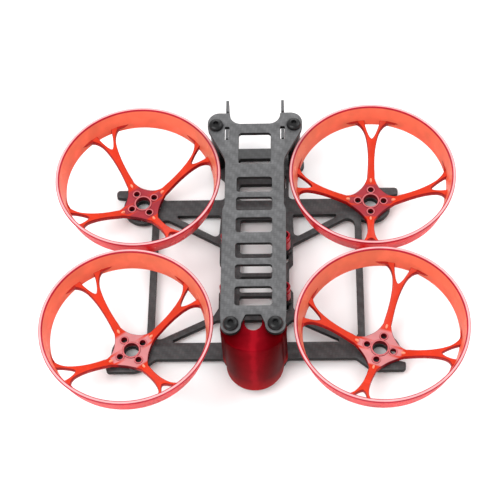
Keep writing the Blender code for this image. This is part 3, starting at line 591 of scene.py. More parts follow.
@dataclass(frozen=True)
class Ring:
    """One ring of a swept piece.

    Attributes:
        radius: Its radius, across the flats' middles where it has corners.
        height: Its height.
        corners: How many corners it has; 0 is round.
    """

    radius: float
    height: float
    corners: int = 0

    def reach(self, angle: float) -> float:
        """Return the ring's radius at an angle in radians.

        Args:
            angle: The angle in radians.

        Returns:
            The radius there.
        """
        if not self.corners:
            return self.radius
        share = 2.0 * math.pi / self.corners
        return self.radius / math.cos((angle + share / 2.0) % share - share / 2.0)


def swept(rings: Sequence[Ring], sides: int = 36) -> bmesh.types.BMesh:
    """Extrude a disc through rings and close the last one.

    Args:
        rings: The rings from the first cap to the last.
        sides: How many sides each ring has.

    Returns:
        The mesh.
    """
    mesh = bmesh.new()
    verts = bmesh.ops.create_circle(mesh, cap_ends=True, segments=sides, radius=1.0)["verts"]
    edges = list(mesh.edges)
    for index, ring in enumerate(rings):
        if index:
            grown = bmesh.ops.extrude_edge_only(mesh, edges=edges)["geom"]
            verts = [item for item in grown if isinstance(item, bmesh.types.BMVert)]
            edges = [item for item in grown if isinstance(item, bmesh.types.BMEdge)]
        for vert in verts:
            angle = math.atan2(vert.co.y, vert.co.x)
            reach = ring.reach(angle)
            vert.co = (reach * math.cos(angle), reach * math.sin(angle), ring.height)
    bmesh.ops.holes_fill(mesh, edges=edges, sides=0)
    bmesh.ops.recalc_face_normals(mesh, faces=mesh.faces)
    return mesh


def lathed(profile: Sequence[Point], sides: int) -> bmesh.types.BMesh:
    """Spin a closed profile round the Z axis.

    Args:
        profile: The profile's radius and height at each point.
        sides: How many steps a full turn has.

    Returns:
        The mesh.
    """
    mesh = bmesh.new()
    verts = [mesh.verts.new((radius, 0.0, height)) for radius, height in profile]
    edges = [mesh.edges.new((verts[index - 1], verts[index])) for index in range(len(verts))]
    bmesh.ops.spin(mesh, geom=verts + edges, cent=(0.0, 0.0, 0.0), axis=(0.0, 0.0, 1.0),
                   angle=2.0 * math.pi, steps=sides, use_merge=True)
    bmesh.ops.remove_doubles(mesh, verts=mesh.verts, dist=0.001)
    bmesh.ops.recalc_face_normals(mesh, faces=mesh.faces)
    return mesh


def joined(meshes: Sequence[bmesh.types.BMesh]) -> bmesh.types.BMesh:
    """Put several meshes in the first one and free the others.

    Args:
        meshes: The meshes; all but the first are freed.

    Returns:
        The first mesh, with the others in it.
    """
    base = meshes[0]
    for other in meshes[1:]:
        carrier = bpy.data.meshes.new("carrier")
        other.to_mesh(carrier)
        other.free()
        base.from_mesh(carrier)
        bpy.data.meshes.remove(carrier)
    return base


def painted(mesh: bmesh.types.BMesh, tint: Callable[[Vector], Tint]) -> bmesh.types.BMesh:
    """Store the plastic's tint at each point.

    Args:
        mesh: The mesh, in millimetres.
        tint: Gives the tint at a point.

    Returns:
        The mesh.
    """
    layer = mesh.verts.layers.float_color.get("tint")
    layer = layer or mesh.verts.layers.float_color.new("tint")
    for vert in mesh.verts:
        vert[layer] = tint(vert.co)
    return mesh


def carved(mesh: bmesh.types.BMesh, tool: bmesh.types.BMesh,
           operation: str = "DIFFERENCE") -> bmesh.types.BMesh:
    """Cut one mesh by another, or unite them.

    Args:
        mesh: The mesh to work on; it is freed.
        tool: The other mesh; it is freed.
        operation: The Boolean's operation.

    Returns:
        The result.
    """
    holders = []
    for work in (mesh, tool):
        data = bpy.data.meshes.new("work")
        bmesh.ops.triangulate(work, faces=work.faces)
        work.to_mesh(data)
        work.free()
        holders.append(bpy.data.objects.new("work", data))
        bpy.context.scene.collection.objects.link(holders[-1])
    boolean = holders[0].modifiers.new("carve", "BOOLEAN")
    boolean.operation, boolean.object = operation, holders[1]
    shaped = bpy.data.meshes.new_from_object(
        holders[0].evaluated_get(bpy.context.evaluated_depsgraph_get()))
    for holder in holders:
        bpy.data.objects.remove(holder)
    result = bmesh.new()
    result.from_mesh(shaped)
    bpy.data.meshes.remove(shaped)
    return result


def piece(name: str, mesh: bmesh.types.BMesh, material: bpy.types.Material, body: str,
          nodes: Sequence[str], place: Matrix | None = None,
          sharp: float = 38.0) -> bpy.types.Object:
    """Finish a mesh as one named piece that rides on a body.

    Args:
        name: The piece's name.
        mesh: Its mesh in millimetres; it is freed.
        material: Its finish.
        body: The body that it rides on.
        nodes: The solids that it stands for.
        place: Where it goes, in millimetres.
        sharp: Angle in degrees above which an edge stays sharp.

    Returns:
        The piece.
    """
    bmesh.ops.transform(mesh, verts=mesh.verts,
                        matrix=Matrix.Scale(MM, 4) @ (place or Matrix.Identity(4)))
    data = bpy.data.meshes.new(name)
    mesh.to_mesh(data)
    mesh.free()
    data.materials.append(material)
    data.shade_smooth()
    data.set_sharp_from_angle(angle=math.radians(sharp))
    made = bpy.data.objects.new(name, data)
    bpy.context.scene.collection.objects.link(made)
    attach(made, body)
    if nodes:
        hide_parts(*nodes)
    log.info("%s: %d faces on %s", name, len(data.polygons), body)
    return made


# ---- shared sizes -----------------------------------------------------------------------
@dataclass(frozen=True)
class Layout:
    """Where the pieces stand, in millimetres.

    Attributes:
        motor_y: Motor axes, fore and aft of the middle.
        motor_x: Motor axes to the side, at the front and at the rear.
        front_screw: Front frame screw on the right.
        rear_screw: Rear frame screw on the right.
        post: Half the pitch of the electronics posts.
        floor: Lower face of the bottom plate.
        deck: Upper face of the bottom plate.
        roof: Lower face of the top plate.
        top: Upper face of the top plate.
        seat_gap: Gap between faces that touch.
        camera_x: Middle of a camera plate.
        camera_thickness: Thickness of a camera plate.
        hole: Radius of a frame screw's clearance hole.
        clearance: Gap beside a camera plate in its slot.
        slot_over: How far a camera plate's slot runs past its tab at each end.
    """

    motor_y: float = 29.05
    motor_x: tuple[float, float] = (40.2, 41.5)
    front_screw: Point = (13.5, 46.694)
    rear_screw: Point = (7.2, -31.15)
    post: float = 10.0
    floor: float = 1.75
    deck: float = 3.75
    roof: float = 26.25
    top: float = 27.75
    seat_gap: float = 0.25
    camera_x: float = 9.6
    camera_thickness: float = 1.0
    hole: float = 1.3
    clearance: float = 0.3
    slot_over: float = 0.7

    def motor(self, end: End, side: Side) -> Point:
        """Return a motor axis's place."""
        return (side.value * self.motor_x[0 if end is End.FRONT else 1],
                end.value * self.motor_y)

    def screw(self, end: End, side: Side) -> Point:
        """Return a frame screw's place."""
        x, y = self.front_screw if end is End.FRONT else self.rear_screw
        return (side.value * x, y)

    def screw_holes(self) -> list[Outline]:
        """Return the clearance holes of the frame screws."""
        return [circle(self.screw(end, side), self.hole, 24) for end, side in CORNERS]

    def camera_slots(self, rear: float, front: float) -> list[Outline]:
        """Return the two slots that take the camera plates' tabs.

        Args:
            rear: Rear of the tabs.
            front: Front of the tabs.

        Returns:
            The right slot and the left one.
        """
        half = self.camera_thickness / 2.0 + self.clearance
        near, far = self.camera_x - half, self.camera_x + half
        low, high = rear - self.slot_over, front + self.slot_over
        slot = rounded([(near, low, 0.4), (far, low, 0.4), (far, high, 0.4), (near, high, 0.4)], 4)
        return [slot, mirrored(slot)]


# ---- plates --------------------------------------------------------------------------------
@dataclass(frozen=True)
class TopPlate:
    """The long upper plate with its row of windows.

    Attributes:
        layout: The shared places.
        front: Its front edge.
        ear: Side of a front ear beyond its screw.
        ear_radius: Radius of a front ear's corner.
        nose_half: Half width of the cut-out above the camera.
        nose_depth: Its depth.
        nose_corner: Radius of its corners.
        waist: Half width at the waist.
        body: Half width behind the waist.
        rear_ear: Radius of the rear ears.
        notch: Half width of the tail notch, and its front edge.
        windows: Front edge, rear edge and half width of each window.
        camera_slot: Rear and front of the camera plates' upper tabs.
    """

    layout: Layout
    front: float = 52.194
    ear: float = 2.9
    ear_radius: float = 4.2
    nose_half: float = 8.7
    nose_depth: float = 4.6
    nose_corner: float = 3.9
    waist: float = 10.0
    body: float = 10.7
    rear_ear: float = 3.35
    notch: Point = (2.5, -27.65)
    windows: tuple[tuple[float, float, float], ...] = (
        (43.594, 30.794, 5.5), (25.4, 19.4, 6.0), (17.3, 12.0, 6.1), (9.2, 3.4, 6.1),
        (-0.7, -6.5, 6.1), (-9.0, -14.6, 6.1), (-17.3, -24.3, 6.1))
    camera_slot: Point = (41.594, 45.594)

    def outline(self) -> Outline:
        """Return the plate's outer edge.

        Returns:
            The outline.
        """
        rear = self.layout.rear_screw
        screw = self.layout.front_screw
        side = screw[0] + self.ear
        bottom = self.front - self.nose_depth
        corner = (self.nose_half - self.nose_corner, bottom + self.nose_corner)
        half = [(0.0, bottom)] + arc(corner, self.nose_corner, -90.0, 0.0, 12)
        half += [(self.nose_half + 0.15, self.front - 0.1)]
        half += arc((side - self.ear_radius, self.front - self.ear_radius), self.ear_radius,
                    90.0, 0.0, 18)
        half += rounded([
            (side, screw[1] - 0.2, 0.0), (side - 0.4, screw[1] - 2.2, self.ear),
            (self.waist, screw[1] - 13.9, 9.0),
            (self.waist, 14.5, 2.0), (self.body, 12.5, 2.0),
            (self.body, rear[1] + self.rear_ear, 0.0)], 10)
        half += arc(rear, self.rear_ear, 15.0, -175.0, 28)
        half += rounded([(self.notch[0] + 1.3, rear[1] + 0.5, 0.0),
                         (self.notch[0], self.notch[1], 0.6), (0.0, self.notch[1], 0.0)])
        return half + mirrored(half)

    def build(self, carbon: bpy.types.Material) -> bpy.types.Object:
        """Make the plate.

        Args:
            carbon: The plate's finish.

        Returns:
            The plate.
        """
        outlines = [self.outline()] + self.layout.screw_holes()
        outlines += self.layout.camera_slots(*self.camera_slot)
        outlines += [window(*sizes) for sizes in self.windows]
        mesh = flat_piece(outlines, self.layout.roof, self.layout.top)
        return piece("top_plate_woven", mesh, carbon, "frame", ["top_plate"])


@dataclass(frozen=True)
class BottomPlate:
    """The lower plate with its arms, braces, struts and motor pads.

    Attributes:
        layout: The shared places.
        front: Its front edge and the half width of its straight part.
        ear: Radius of the front and rear ears.
        body: Half width of the narrowest stretch.
        bulge: Extra half width beside the posts.
        arm_side: Side of the body between a front arm and its brace.
        arm_offset: From the motor axis to the arm's centre line.
        arm_width: Width of the front and rear arms.
        brace_width: Width of a brace.
        brace_y: Where the braces' centre lines meet the body, front and rear.
        brace_end: Where they run into the arm.
        neck: Half width ahead of the rear ears.
        strut: Middle and width of the strut between front and rear pads.
        pad: Radius of a motor pad.
        tab: Tip and width of the pad's outer tab.
        ladder: First bar, pitch, width and count of the bars, and half width of the windows.
        ends: Front edge, rear edge and half width of the windows beyond the ladder.
        camera_slot: Rear and front of the camera plates' lower tabs.
        post_slots: Rear and front of the posts' slots, front pair and rear pair.
        post_slot_width: Their width.
        pad_bore: Radius of a pad's bore.
        pad_slot: Inner and outer centre of a motor screw's slot, and its width.
    """

    layout: Layout
    front: Point = (53.594, 8.6)
    ear: Point = (3.4, 3.35)
    body: float = 11.35
    bulge: float = 1.4
    arm_side: float = 12.6
    arm_offset: float = 0.65
    arm_width: Point = (6.5, 6.2)
    brace_width: float = 2.15
    brace_y: Point = (14.0, -15.4)
    brace_end: float = 30.0
    neck: float = 9.9
    strut: Point = (35.6, 2.4)
    pad: float = 7.0
    tab: Point = (50.0, 3.0)
    ladder: tuple[float, float, float, int, float] = (16.2, 7.7, 1.5, 4, 5.7)
    ends: tuple[tuple[float, float, float], ...] = (
        (49.094, 41.794, 6.6), (38.094, 31.294, 6.2), (-16.9, -28.4, 4.2))
    camera_slot: Point = (36.894, 40.894)
    post_slots: tuple[Point, Point] = ((5.4, 17.2), (-13.5, -5.2))
    post_slot_width: float = 2.4
    pad_bore: float = 2.5
    pad_slot: tuple[float, float, float] = (4.75, 5.15, 2.1)

    def arm(self, end: End) -> Point:
        """Return the levels of an arm's far and near edge.

        Args:
            end: The arm's end of the frame.

        Returns:
            The level away from the middle, and the near one.
        """
        width = self.arm_width[0 if end is End.FRONT else 1] / 2.0
        middle = self.layout.motor_y - self.arm_offset
        return end.value * (middle + width), end.value * (middle - width)

    def brace(self, end: End, outer: bool, x: float) -> float:
        """Return the level of a brace's side at an x.

        Args:
            end: The brace's end of the frame.
            outer: Whether it is the side that faces the arm.
            x: Where the level is read.

        Returns:
            The level.
        """
        index = 0 if end is End.FRONT else 1
        start = Vector((self.arm_side, self.brace_y[index]))
        finish = Vector((self.brace_end, self.arm(end)[1] - end.value * 1.2))
        along = (finish - start).normalized()
        across = Vector((-along.y, along.x)) * (self.brace_width / 2.0)
        across *= end.value * (1.0 if outer else -1.0)
        start, finish = start + across, finish + across
        return start.y + (finish.y - start.y) * (x - start.x) / (finish.x - start.x)

    def pad_rim(self, end: End) -> Outline:
        """Return a pad's rim with its tab, from the arm round to the strut.

        Args:
            end: The pad's end of the frame.

        Returns:
            The rim of the pad on the right.
        """
        motor_x, motor_y = self.layout.motor(end, Side.RIGHT)
        sign, centre = end.value, self.layout.motor(end, Side.RIGHT)
        far = motor_y + sign * self.pad
        near = far - sign * self.tab[1]
        tab_angle = math.degrees(math.asin((self.pad - self.tab[1]) / self.pad))
        strut = self.strut[0] + self.strut[1] / 2.0
        strut_angle = math.degrees(math.acos((strut - motor_x) / self.pad))
        tab = rounded([(motor_x + 1.0, far, 0.0), (self.tab[0], far, 1.3),
                       (self.tab[0], near, 1.0), (motor_x + self.pad, near, 0.0)])
        return (arc(centre, self.pad, sign * 135.0, sign * 90.0, 8) + tab[1:-1]
                + arc(centre, self.pad, sign * (tab_angle - 4.0), -sign * strut_angle, 26))

    def outline(self) -> Outline:
        """Return the plate's outer edge.

        Returns:
            The outline.
        """
        screw, rear = self.layout.front_screw, self.layout.rear_screw
        front_ear, rear_ear = self.ear
        far, rear_far = self.arm(End.FRONT)[0], self.arm(End.REAR)[0]
        front_x, rear_x = self.layout.motor_x
        half = rounded([(0.0, self.front[0], 0.0), (self.front[1], self.front[0], 1.5),
                        (screw[0], screw[1] + front_ear + 0.2, 0.0)])
        half += arc(screw, front_ear, 80.0, -50.0, 20)
        half += rounded([(screw[0] + 1.6, screw[1] - front_ear - 0.2, 0.0),
                         (self.body, screw[1] - 6.4, 3.0), (self.body, far, 1.6),
                         (front_x - self.pad - 0.6, far, 1.6),
                         (front_x - self.pad + 1.6, far + 2.6, 0.0)])[1:-1]
        half += self.pad_rim(End.FRONT) + list(reversed(self.pad_rim(End.REAR)))
        half += rounded([(rear_x - self.pad + 1.6, rear_far - 2.6, 0.0),
                         (rear_x - self.pad - 0.8, rear_far, 1.6),
                         (rear[0] + rear_ear + 0.6, rear_far, 1.0),
                         (rear[0] + rear_ear, rear[1] - 0.6, 0.0)])[1:-1]
        half += arc(rear, rear_ear, -15.0, -120.0, 16)
        half += rounded([(rear[0] - rear_ear, rear[1] - 1.6, 0.0),
                         (rear[0] - rear_ear - 0.8, rear[1] - 0.6, 1.0),
                         (0.0, rear[1] - 0.6, 0.0)])[1:]
        return half + mirrored(half)

    def side_openings(self) -> list[Outline]:
        """Return the openings on the right: beside the body, and in each arm's fork.

        Returns:
            The openings' outlines.
        """
        inner = self.strut[0] - self.strut[1] / 2.0
        wide = self.body + self.bulge
        ahead, behind = self.layout.post - 6.2, -self.layout.post + 5.8
        crotch = self.brace_end - 1.9
        beside = rounded([
            (wide, self.brace(End.FRONT, False, wide), 0.8),
            (inner, self.brace(End.FRONT, False, inner), 2.6),
            (inner, self.brace(End.REAR, False, inner), 2.0),
            (wide + 1.6, self.brace(End.REAR, False, wide + 1.6), 1.0),
            (wide, -self.layout.post - 2.2, 0.8), (wide, behind - self.bulge * 1.6, 0.8),
            (self.body, behind, 0.8), (self.body, ahead, 0.8),
            (wide, ahead + self.bulge * 1.2, 0.8)])
        side = self.arm_side
        front_near, rear_near = self.arm(End.FRONT)[1], self.arm(End.REAR)[1]
        front = rounded([(side, front_near, 0.8), (crotch, front_near, 0.5),
                         (crotch - 0.2, self.brace(End.FRONT, True, crotch), 0.5),
                         (side + 0.6, self.brace(End.FRONT, True, side + 0.6), 1.4)])
        rear_root = self.brace(End.REAR, True, side)
        rear = rounded([(self.neck, rear_near, 0.8), (crotch, rear_near, 0.5),
                        (crotch - 0.2, self.brace(End.REAR, True, crotch), 0.5),
                        (side, rear_root, 1.4), (self.neck, rear_root - 2.6, 1.4)])
        return [beside, front, rear]

    def holes(self) -> list[Outline]:
        """Return every hole of the plate.

        Returns:
            The holes' outlines.
        """
        first, pitch, width, count, half = self.ladder
        outlines = self.layout.screw_holes() + self.layout.camera_slots(*self.camera_slot)
        outlines += [window(*sizes) for sizes in self.ends]
        outlines += [window(first + pitch * (1 - index) - width / 2.0,
                            first - pitch * index + width / 2.0, half)
                     for index in range(count + 1)]
        for opening in self.side_openings():
            outlines += [opening, mirrored(opening)]
        round_end = self.post_slot_width / 2.0
        for rear, front in self.post_slots:
            outlines += [obround((side.value * self.layout.post, rear + round_end),
                                 (side.value * self.layout.post, front - round_end),
                                 self.post_slot_width) for side in Side]
        start, finish, slot_width = self.pad_slot
        for end, side in CORNERS:
            motor = self.layout.motor(end, side)
            outlines.append(circle(motor, self.pad_bore, 32))
            for quarter in range(4):
                slot = obround((start, 0.0), (finish, 0.0), slot_width, 6)
                outlines.append(moved(turned(slot, quarter * math.pi / 2.0), motor))
        return outlines

    def build(self, carbon: bpy.types.Material) -> bpy.types.Object:
        """Make the plate."""
        mesh = flat_piece([self.outline()] + self.holes(), self.layout.floor, self.layout.deck)
        return piece("bottom_plate_woven", mesh, carbon, "frame", ["bottom_plate"])


# ---- ducts ---------------------------------------------------------------------------------
@dataclass(frozen=True)
class DuctTints:
    """The clear red plastic's tints; the last value is how clear it is.

    Attributes:
        lip: The pale line along the lip, a painted highlight.
        line: The dark lines beside it, painted shade.
        edge: The dark edge just below, painted shade.
        shoulder: The lip's outside, in the outer wall's painted shade.
        outside: The wall's outside, and its lower part, deep crimson: painted shade.
        inside: The wall's inside, and its lower part, pale coral and paler above: painted light.
        hub: The hub's top, lighter than its sides: painted light.
        hub_side: The hub's sides and underside, painted shade.
        spoke: A spoke's top, painted lit, and its sides and underside, painted shade.
        ledge: The ledges beside the forks.
        painted_glint: The painted glints at the spokes' roots.
        boss: The tops of the raised rims, a painted highlight, and their sides, painted shade.
    """

    # lip is a painted highlight; line and edge are painted shade lines beside it.
    lip: Tint = (1.0, 0.60, 0.62, 0.03)
    line: Tint = (0.50, 0.025, 0.055, 0.03)
    edge: Tint = (0.50, 0.02, 0.05, 0.03)
    # The crimson outside is painted shade, and the pale coral inside is painted light.
    shoulder: Tint = (0.80, 0.05, 0.07, 0.03)
    outside: tuple[Tint, Tint] = ((0.80, 0.022, 0.030, 0.04), (0.86, 0.038, 0.044, 0.05))
    inside: tuple[Tint, Tint] = ((0.95, 0.27, 0.145, 0.05), (0.90, 0.22, 0.13, 0.07))
    # The hub's top is painted lit, and its sides are painted shade.
    hub: Tint = (0.56, 0.065, 0.085, 0.12)
    hub_side: Tint = (0.2, 0.010, 0.018, 0.12)
    # Spoke tops are painted lit, and their sides are painted shade.
    spoke: tuple[Tint, Tint] = ((0.88, 0.065, 0.025, 0.04), (0.42, 0.010, 0.010, 0.04))
    ledge: Tint = (0.60, 0.03, 0.02, 0.05)
    # Painted glint spots at the spokes' roots.
    painted_glint: Tint = (1.0, 0.50, 0.32, 0.0)
    # The raised rims' pink tops are a painted highlight, and their dark sides are painted shade.
    boss: tuple[Tint, Tint] = ((0.84, 0.24, 0.26, 0.05), (0.2, 0.01, 0.02, 0.1))


@dataclass(frozen=True)
class Duct:
    """A moulded duct: a thin tapered rim on forked spokes that rise from a star-shaped hub.

    Attributes:
        radius: Outside radius at the lip.
        lip: Height of the lip's top.
        foot: Height of the wall's lower edge.
        wall: Thickness of the wall.
        draft: How far the wall leans in at its lower edge.
        hub: Heights of the hub's lower and upper face.
        slope: Rise of a spoke for each millimetre outwards.
        flat: Radius at which the spokes begin to rise.
        bend: Length over which they bend up.
        steepen: Factor on the rise, which makes up for the bend.
        spoke: Width of a spoke.
        crotch: Radius of the fork's crotch.
        flare: Angle in degrees at which a fork's outer side meets the wall.
        gap: Half angle in degrees of the fork's window at the wall.
        seat: Height above the wall's foot at which the spokes' tops meet it.
        bore: Radius of the hub's bore.
        holes: Radius of the motor screws' circle, and of its holes.
        painted_glint: Distance of a spoke's painted glint from the axis.
        tints: The plastic's tints.
    """

    radius: float = 28.44
    lip: float = 24.4
    foot: float = 16.0
    wall: float = 0.9
    draft: float = 1.9
    hub: Point = (4.0, 6.0)
    slope: float = 0.620
    flat: float = 6.0
    bend: float = 0.9
    steepen: float = 1.045
    spoke: float = 2.3
    crotch: float = 20.6
    flare: float = 17.0
    gap: float = 6.0
    seat: float = 2.5
    bore: float = 2.5
    holes: Point = (4.5, 1.0)
    painted_glint: float = 8.0
    tints: DuctTints = field(default_factory=DuctTints)

    def rim(self) -> bmesh.types.BMesh:
        """Return the rim with its rounded lip.

        Returns:
            The tinted mesh.
        """
        r, top, foot = self.radius, self.lip, self.foot
        outer = r - self.draft
        profile = [
            (r - 0.86, top), (r - 0.72, top), (r - 0.3, top), (r - 0.1, top - 0.06),
            (r, top - 0.25), (r, top - 0.95), (r - 0.12, top - 1.15), (r - 0.42, top - 1.3),
            (r - 1.0, top - 3.6), (outer + 0.02, foot + 0.2), (outer - 0.15, foot),
            (outer - self.wall + 0.15, foot), (outer - self.wall, foot + 0.2),
            (r - 2.05, top - 3.6), (r - 1.42, top - 1.3), (r - 1.3, top - 0.7),
            (r - 1.2, top - 0.3), (r - 1.08, top - 0.08)]
        return painted(lathed(profile, 144), self.rim_tint)

    def rim_tint(self, point: Vector) -> Tint:
        """Return the rim's tint, with painted light: lip highlight, dark lines, lit inside, shaded
        outside.

        Args:
            point: A point, in millimetres from the duct's axis.

        Returns:
            Its tint.
        """
        out, down = math.hypot(point.x, point.y) - self.radius, self.lip - point.z
        # A painted highlight on the lip's top, between painted shade lines.
        if down < 0.02:
            return self.tints.lip if -0.75 < out < -0.28 else self.tints.line
        if down < 0.35:
            return self.tints.edge
        # Painted shade on the crimson outside, painted light on the coral inside.
        if down < 1.4 and out > -0.6:
            return self.tints.shoulder
        middle = -0.4 - self.draft * (down / (self.lip - self.foot)) - self.wall / 2.0
        lower = 0 if down < 6.0 else 1
        return self.tints.outside[lower] if out > middle else self.tints.inside[lower]

    def spider_tint(self, point: Vector) -> Tint:
        """Return the flat spider's tint: painted light on top, painted shade on the sides, a deep hub.

        Args:
            point: A point, in millimetres from the duct's axis.

        Returns:
            Its tint.
        """
        out = math.hypot(point.x, point.y)
        # Tops get the painted light; sides and undersides get the painted shade.
        top = point.z > self.hub[1] - 0.02
        if out < 7.2:
            return self.tints.hub if top else self.tints.hub_side
        return self.tints.spoke[0 if top else 1]

    def spoke_side(self) -> Outline:
        """Return a spoke's left side, from the hub out to the wall and back to the crotch.

        Returns:
            The side of a spoke that lies along X.
        """
        half = self.spoke / 2.0
        anchor = self.radius - self.draft - self.wall / 2.0
        angle = math.radians(self.flare)
        end = (anchor * math.cos(angle), anchor * math.sin(angle))
        tangent = (math.sin(angle), -math.cos(angle))
        side = cubic((9.8, half + 0.18), (15.0, half - 0.25), (19.0, half + 0.15),
                     (21.8, half + 1.15), 8)
        side += cubic((21.8, half + 1.15), (23.7, half + 1.85),
                      (end[0] + tangent[0] * 2.9, end[1] + tangent[1] * 2.9), end, 9)[1:]
        side += arc((0.0, 0.0), anchor, self.flare, self.gap, 7)[1:]
        gap = math.radians(self.gap)
        inner = (anchor * math.cos(gap), anchor * math.sin(gap))
        side += cubic(inner, (inner[0] - 1.6, inner[1] - 0.1), (self.crotch + 0.1, 0.9),
                      (self.crotch, 0.0), 8)[1:-1]
        return side

    def spider_outline(self) -> Outline:
        """Return the outline of the hub and its spokes.

        Returns:
            The outline.
        """
        half = self.spoke / 2.0 + 0.2
        side = self.spoke_side()
        points: Outline = []
        for index in range(4):
            quarter = [(x, -y) for x, y in side] + [(self.crotch, 0.0)] + side[::-1]
            quarter += cubic((8.7, half), (5.6, half + 1.0), (half + 1.0, 5.6), (half, 8.7), 12)
            points += turned(quarter, index * math.pi / 2.0)
        return points

    def lifted(self, mesh: bmesh.types.BMesh) -> bmesh.types.BMesh:
        """Raise a flat mesh so that its spokes slope up to the wall.

        Args:
            mesh: The flat mesh.

        Returns:
            The same mesh.
        """
        for vert in mesh.verts:
            out = math.hypot(vert.co.x, vert.co.y) - self.flat
            if out > 0.0:
                ease = out * out / (out + self.bend)
                vert.co.z += self.slope * ease * self.steepen
        return mesh

    def spider(self) -> bmesh.types.BMesh:
        """Return the hub and the spokes.

        Returns:
            The tinted mesh.
        """
        outlines = [self.spider_outline(), circle((0.0, 0.0), self.bore, 32)]
        for index in range(4):
            angle = index * math.pi / 2.0
            place = (self.holes[0] * math.cos(angle), self.holes[0] * math.sin(angle))
            outlines.append(circle(place, self.holes[1], 20))
        mesh = flat_piece(outlines, self.hub[0], self.hub[1], 0.22)
        for radius in (7.1, 7.8, 9.0, 10.5, 13.0, 15.5, 18.0, 20.5, 23.0):
            for index in range(4):
                angle = index * math.pi / 2.0
                way = Vector((math.cos(angle), math.sin(angle), 0.0))
                bmesh.ops.bisect_plane(mesh, geom=[*mesh.verts, *mesh.edges, *mesh.faces],
                                       plane_co=way * radius, plane_no=way)
        return self.lifted(painted(mesh, self.spider_tint))

    def ledges(self) -> bmesh.types.BMesh:
        """Return the thin ledges that run along the wall from each fork.

        Returns:
            The tinted mesh.
        """
        meshes = []
        anchor = self.radius - self.draft - self.wall + 0.45
        start, span, steps = self.flare - 6.0, 13.0, 12
        edge = arc((0.0, 0.0), anchor + 0.35, start, start + span, steps)
        for step in range(steps, -1, -1):
            angle = math.radians(start + span * step / steps)
            reach = anchor - 0.75 * (1.0 - step / steps) ** 1.5
            edge.append((reach * math.cos(angle), reach * math.sin(angle)))
        for index in range(4):
            for sign in (-1.0, 1.0):
                outline = [(x, sign * y) for x, y in edge]
                if sign < 0.0:
                    outline.reverse()
                meshes.append(flat_piece([turned(outline, index * math.pi / 2.0)],
                                         self.foot + 1.3, self.foot + self.seat, 0.12))
        return painted(joined(meshes), lambda point: self.tints.ledge)

    def bosses(self) -> bmesh.types.BMesh:
        """Return the raised rims round the hub's holes, and the small domes that carry painted glints.

        Returns:
            The tinted mesh.
        """
        top = self.hub[1]
        rims = [lathed([(self.bore + 0.12, top + 0.32), (self.bore + 0.5, top + 0.32),
                        (self.bore + 0.62, top + 0.2), (self.bore + 0.62, top - 0.2),
                        (self.bore + 0.02, top - 0.2), (self.bore + 0.02, top + 0.22)], 32)]
        circle_radius, inner = self.holes
        for index in range(4):
            rim = lathed([(inner + 0.1, top + 0.3), (inner + 0.42, top + 0.3),
                          (inner + 0.52, top + 0.2), (inner + 0.52, top - 0.2),
                          (inner + 0.02, top - 0.2), (inner + 0.02, top + 0.22)], 20)
            rims.append(self.set_out(rim, circle_radius, index))
            # A small dome on each spoke that carries a painted glint.
            painted_glint = lathed([(0.0, top + 1.55), (0.3, top + 1.5), (0.5, top + 1.25), (0.5, top),
                           (0.0, top)], 16)
            bmesh.ops.scale(painted_glint, verts=painted_glint.verts, vec=(1.5, 0.8, 1.0))
            rims.append(self.set_out(painted_glint, self.painted_glint, index))
        return painted(joined(rims), self.boss_tint)

    @staticmethod
    def set_out(mesh: bmesh.types.BMesh, radius: float, quarter: int) -> bmesh.types.BMesh:
        """Move a piece out from the axis and turn it round to its quarter.

        Args:
            mesh: The piece, made on the axis.
            radius: How far out it goes.
            quarter: How many quarter turns it gets.

        Returns:
            The same mesh.
        """
        turn = Matrix.Rotation(quarter * math.pi / 2.0, 3, "Z")
        bmesh.ops.translate(mesh, verts=mesh.verts, vec=(radius, 0.0, 0.0))
        bmesh.ops.rotate(mesh, verts=mesh.verts, cent=(0.0, 0.0, 0.0), matrix=turn)
        return mesh

    def boss_tint(self, point: Vector) -> Tint:
        """Return the tint of the raised rims, with painted highlight and shade, and of the painted
        glints.

        Args:
            point: A point, in millimetres from the duct's axis.

        Returns:
            Its tint.
        """
        # Beyond the hub, the domes take the painted glint.
        if math.hypot(point.x, point.y) > self.painted_glint - 1.2:
            return self.tints.painted_glint
        # Rim tops get the painted highlight, and their sides get the painted shade.
        return self.tints.boss[0 if point.z > self.hub[1] + 0.25 else 1]

    def build(self, end: End, side: Side, place: Point, turn: float,
              plastic: bpy.types.Material) -> bpy.types.Object:
        """Make one duct.

        Args:
            end: Which end it is at.
            side: Which side it is on.
            place: Its motor axis.
            turn: How far it is turned on its seat, in degrees.
            plastic: Its finish.

        Returns:
            The duct.
        """
        mesh = joined([self.rim(), self.spider(), self.ledges(), self.bosses()])
        node = f"duct_{end.word}_{side.word}"
        stand = Matrix.Translation((*place, 0.0)) @ Matrix.Rotation(math.radians(turn), 4, "Z")
        return piece(f"{node}_moulding", mesh, plastic, node, [node], stand)


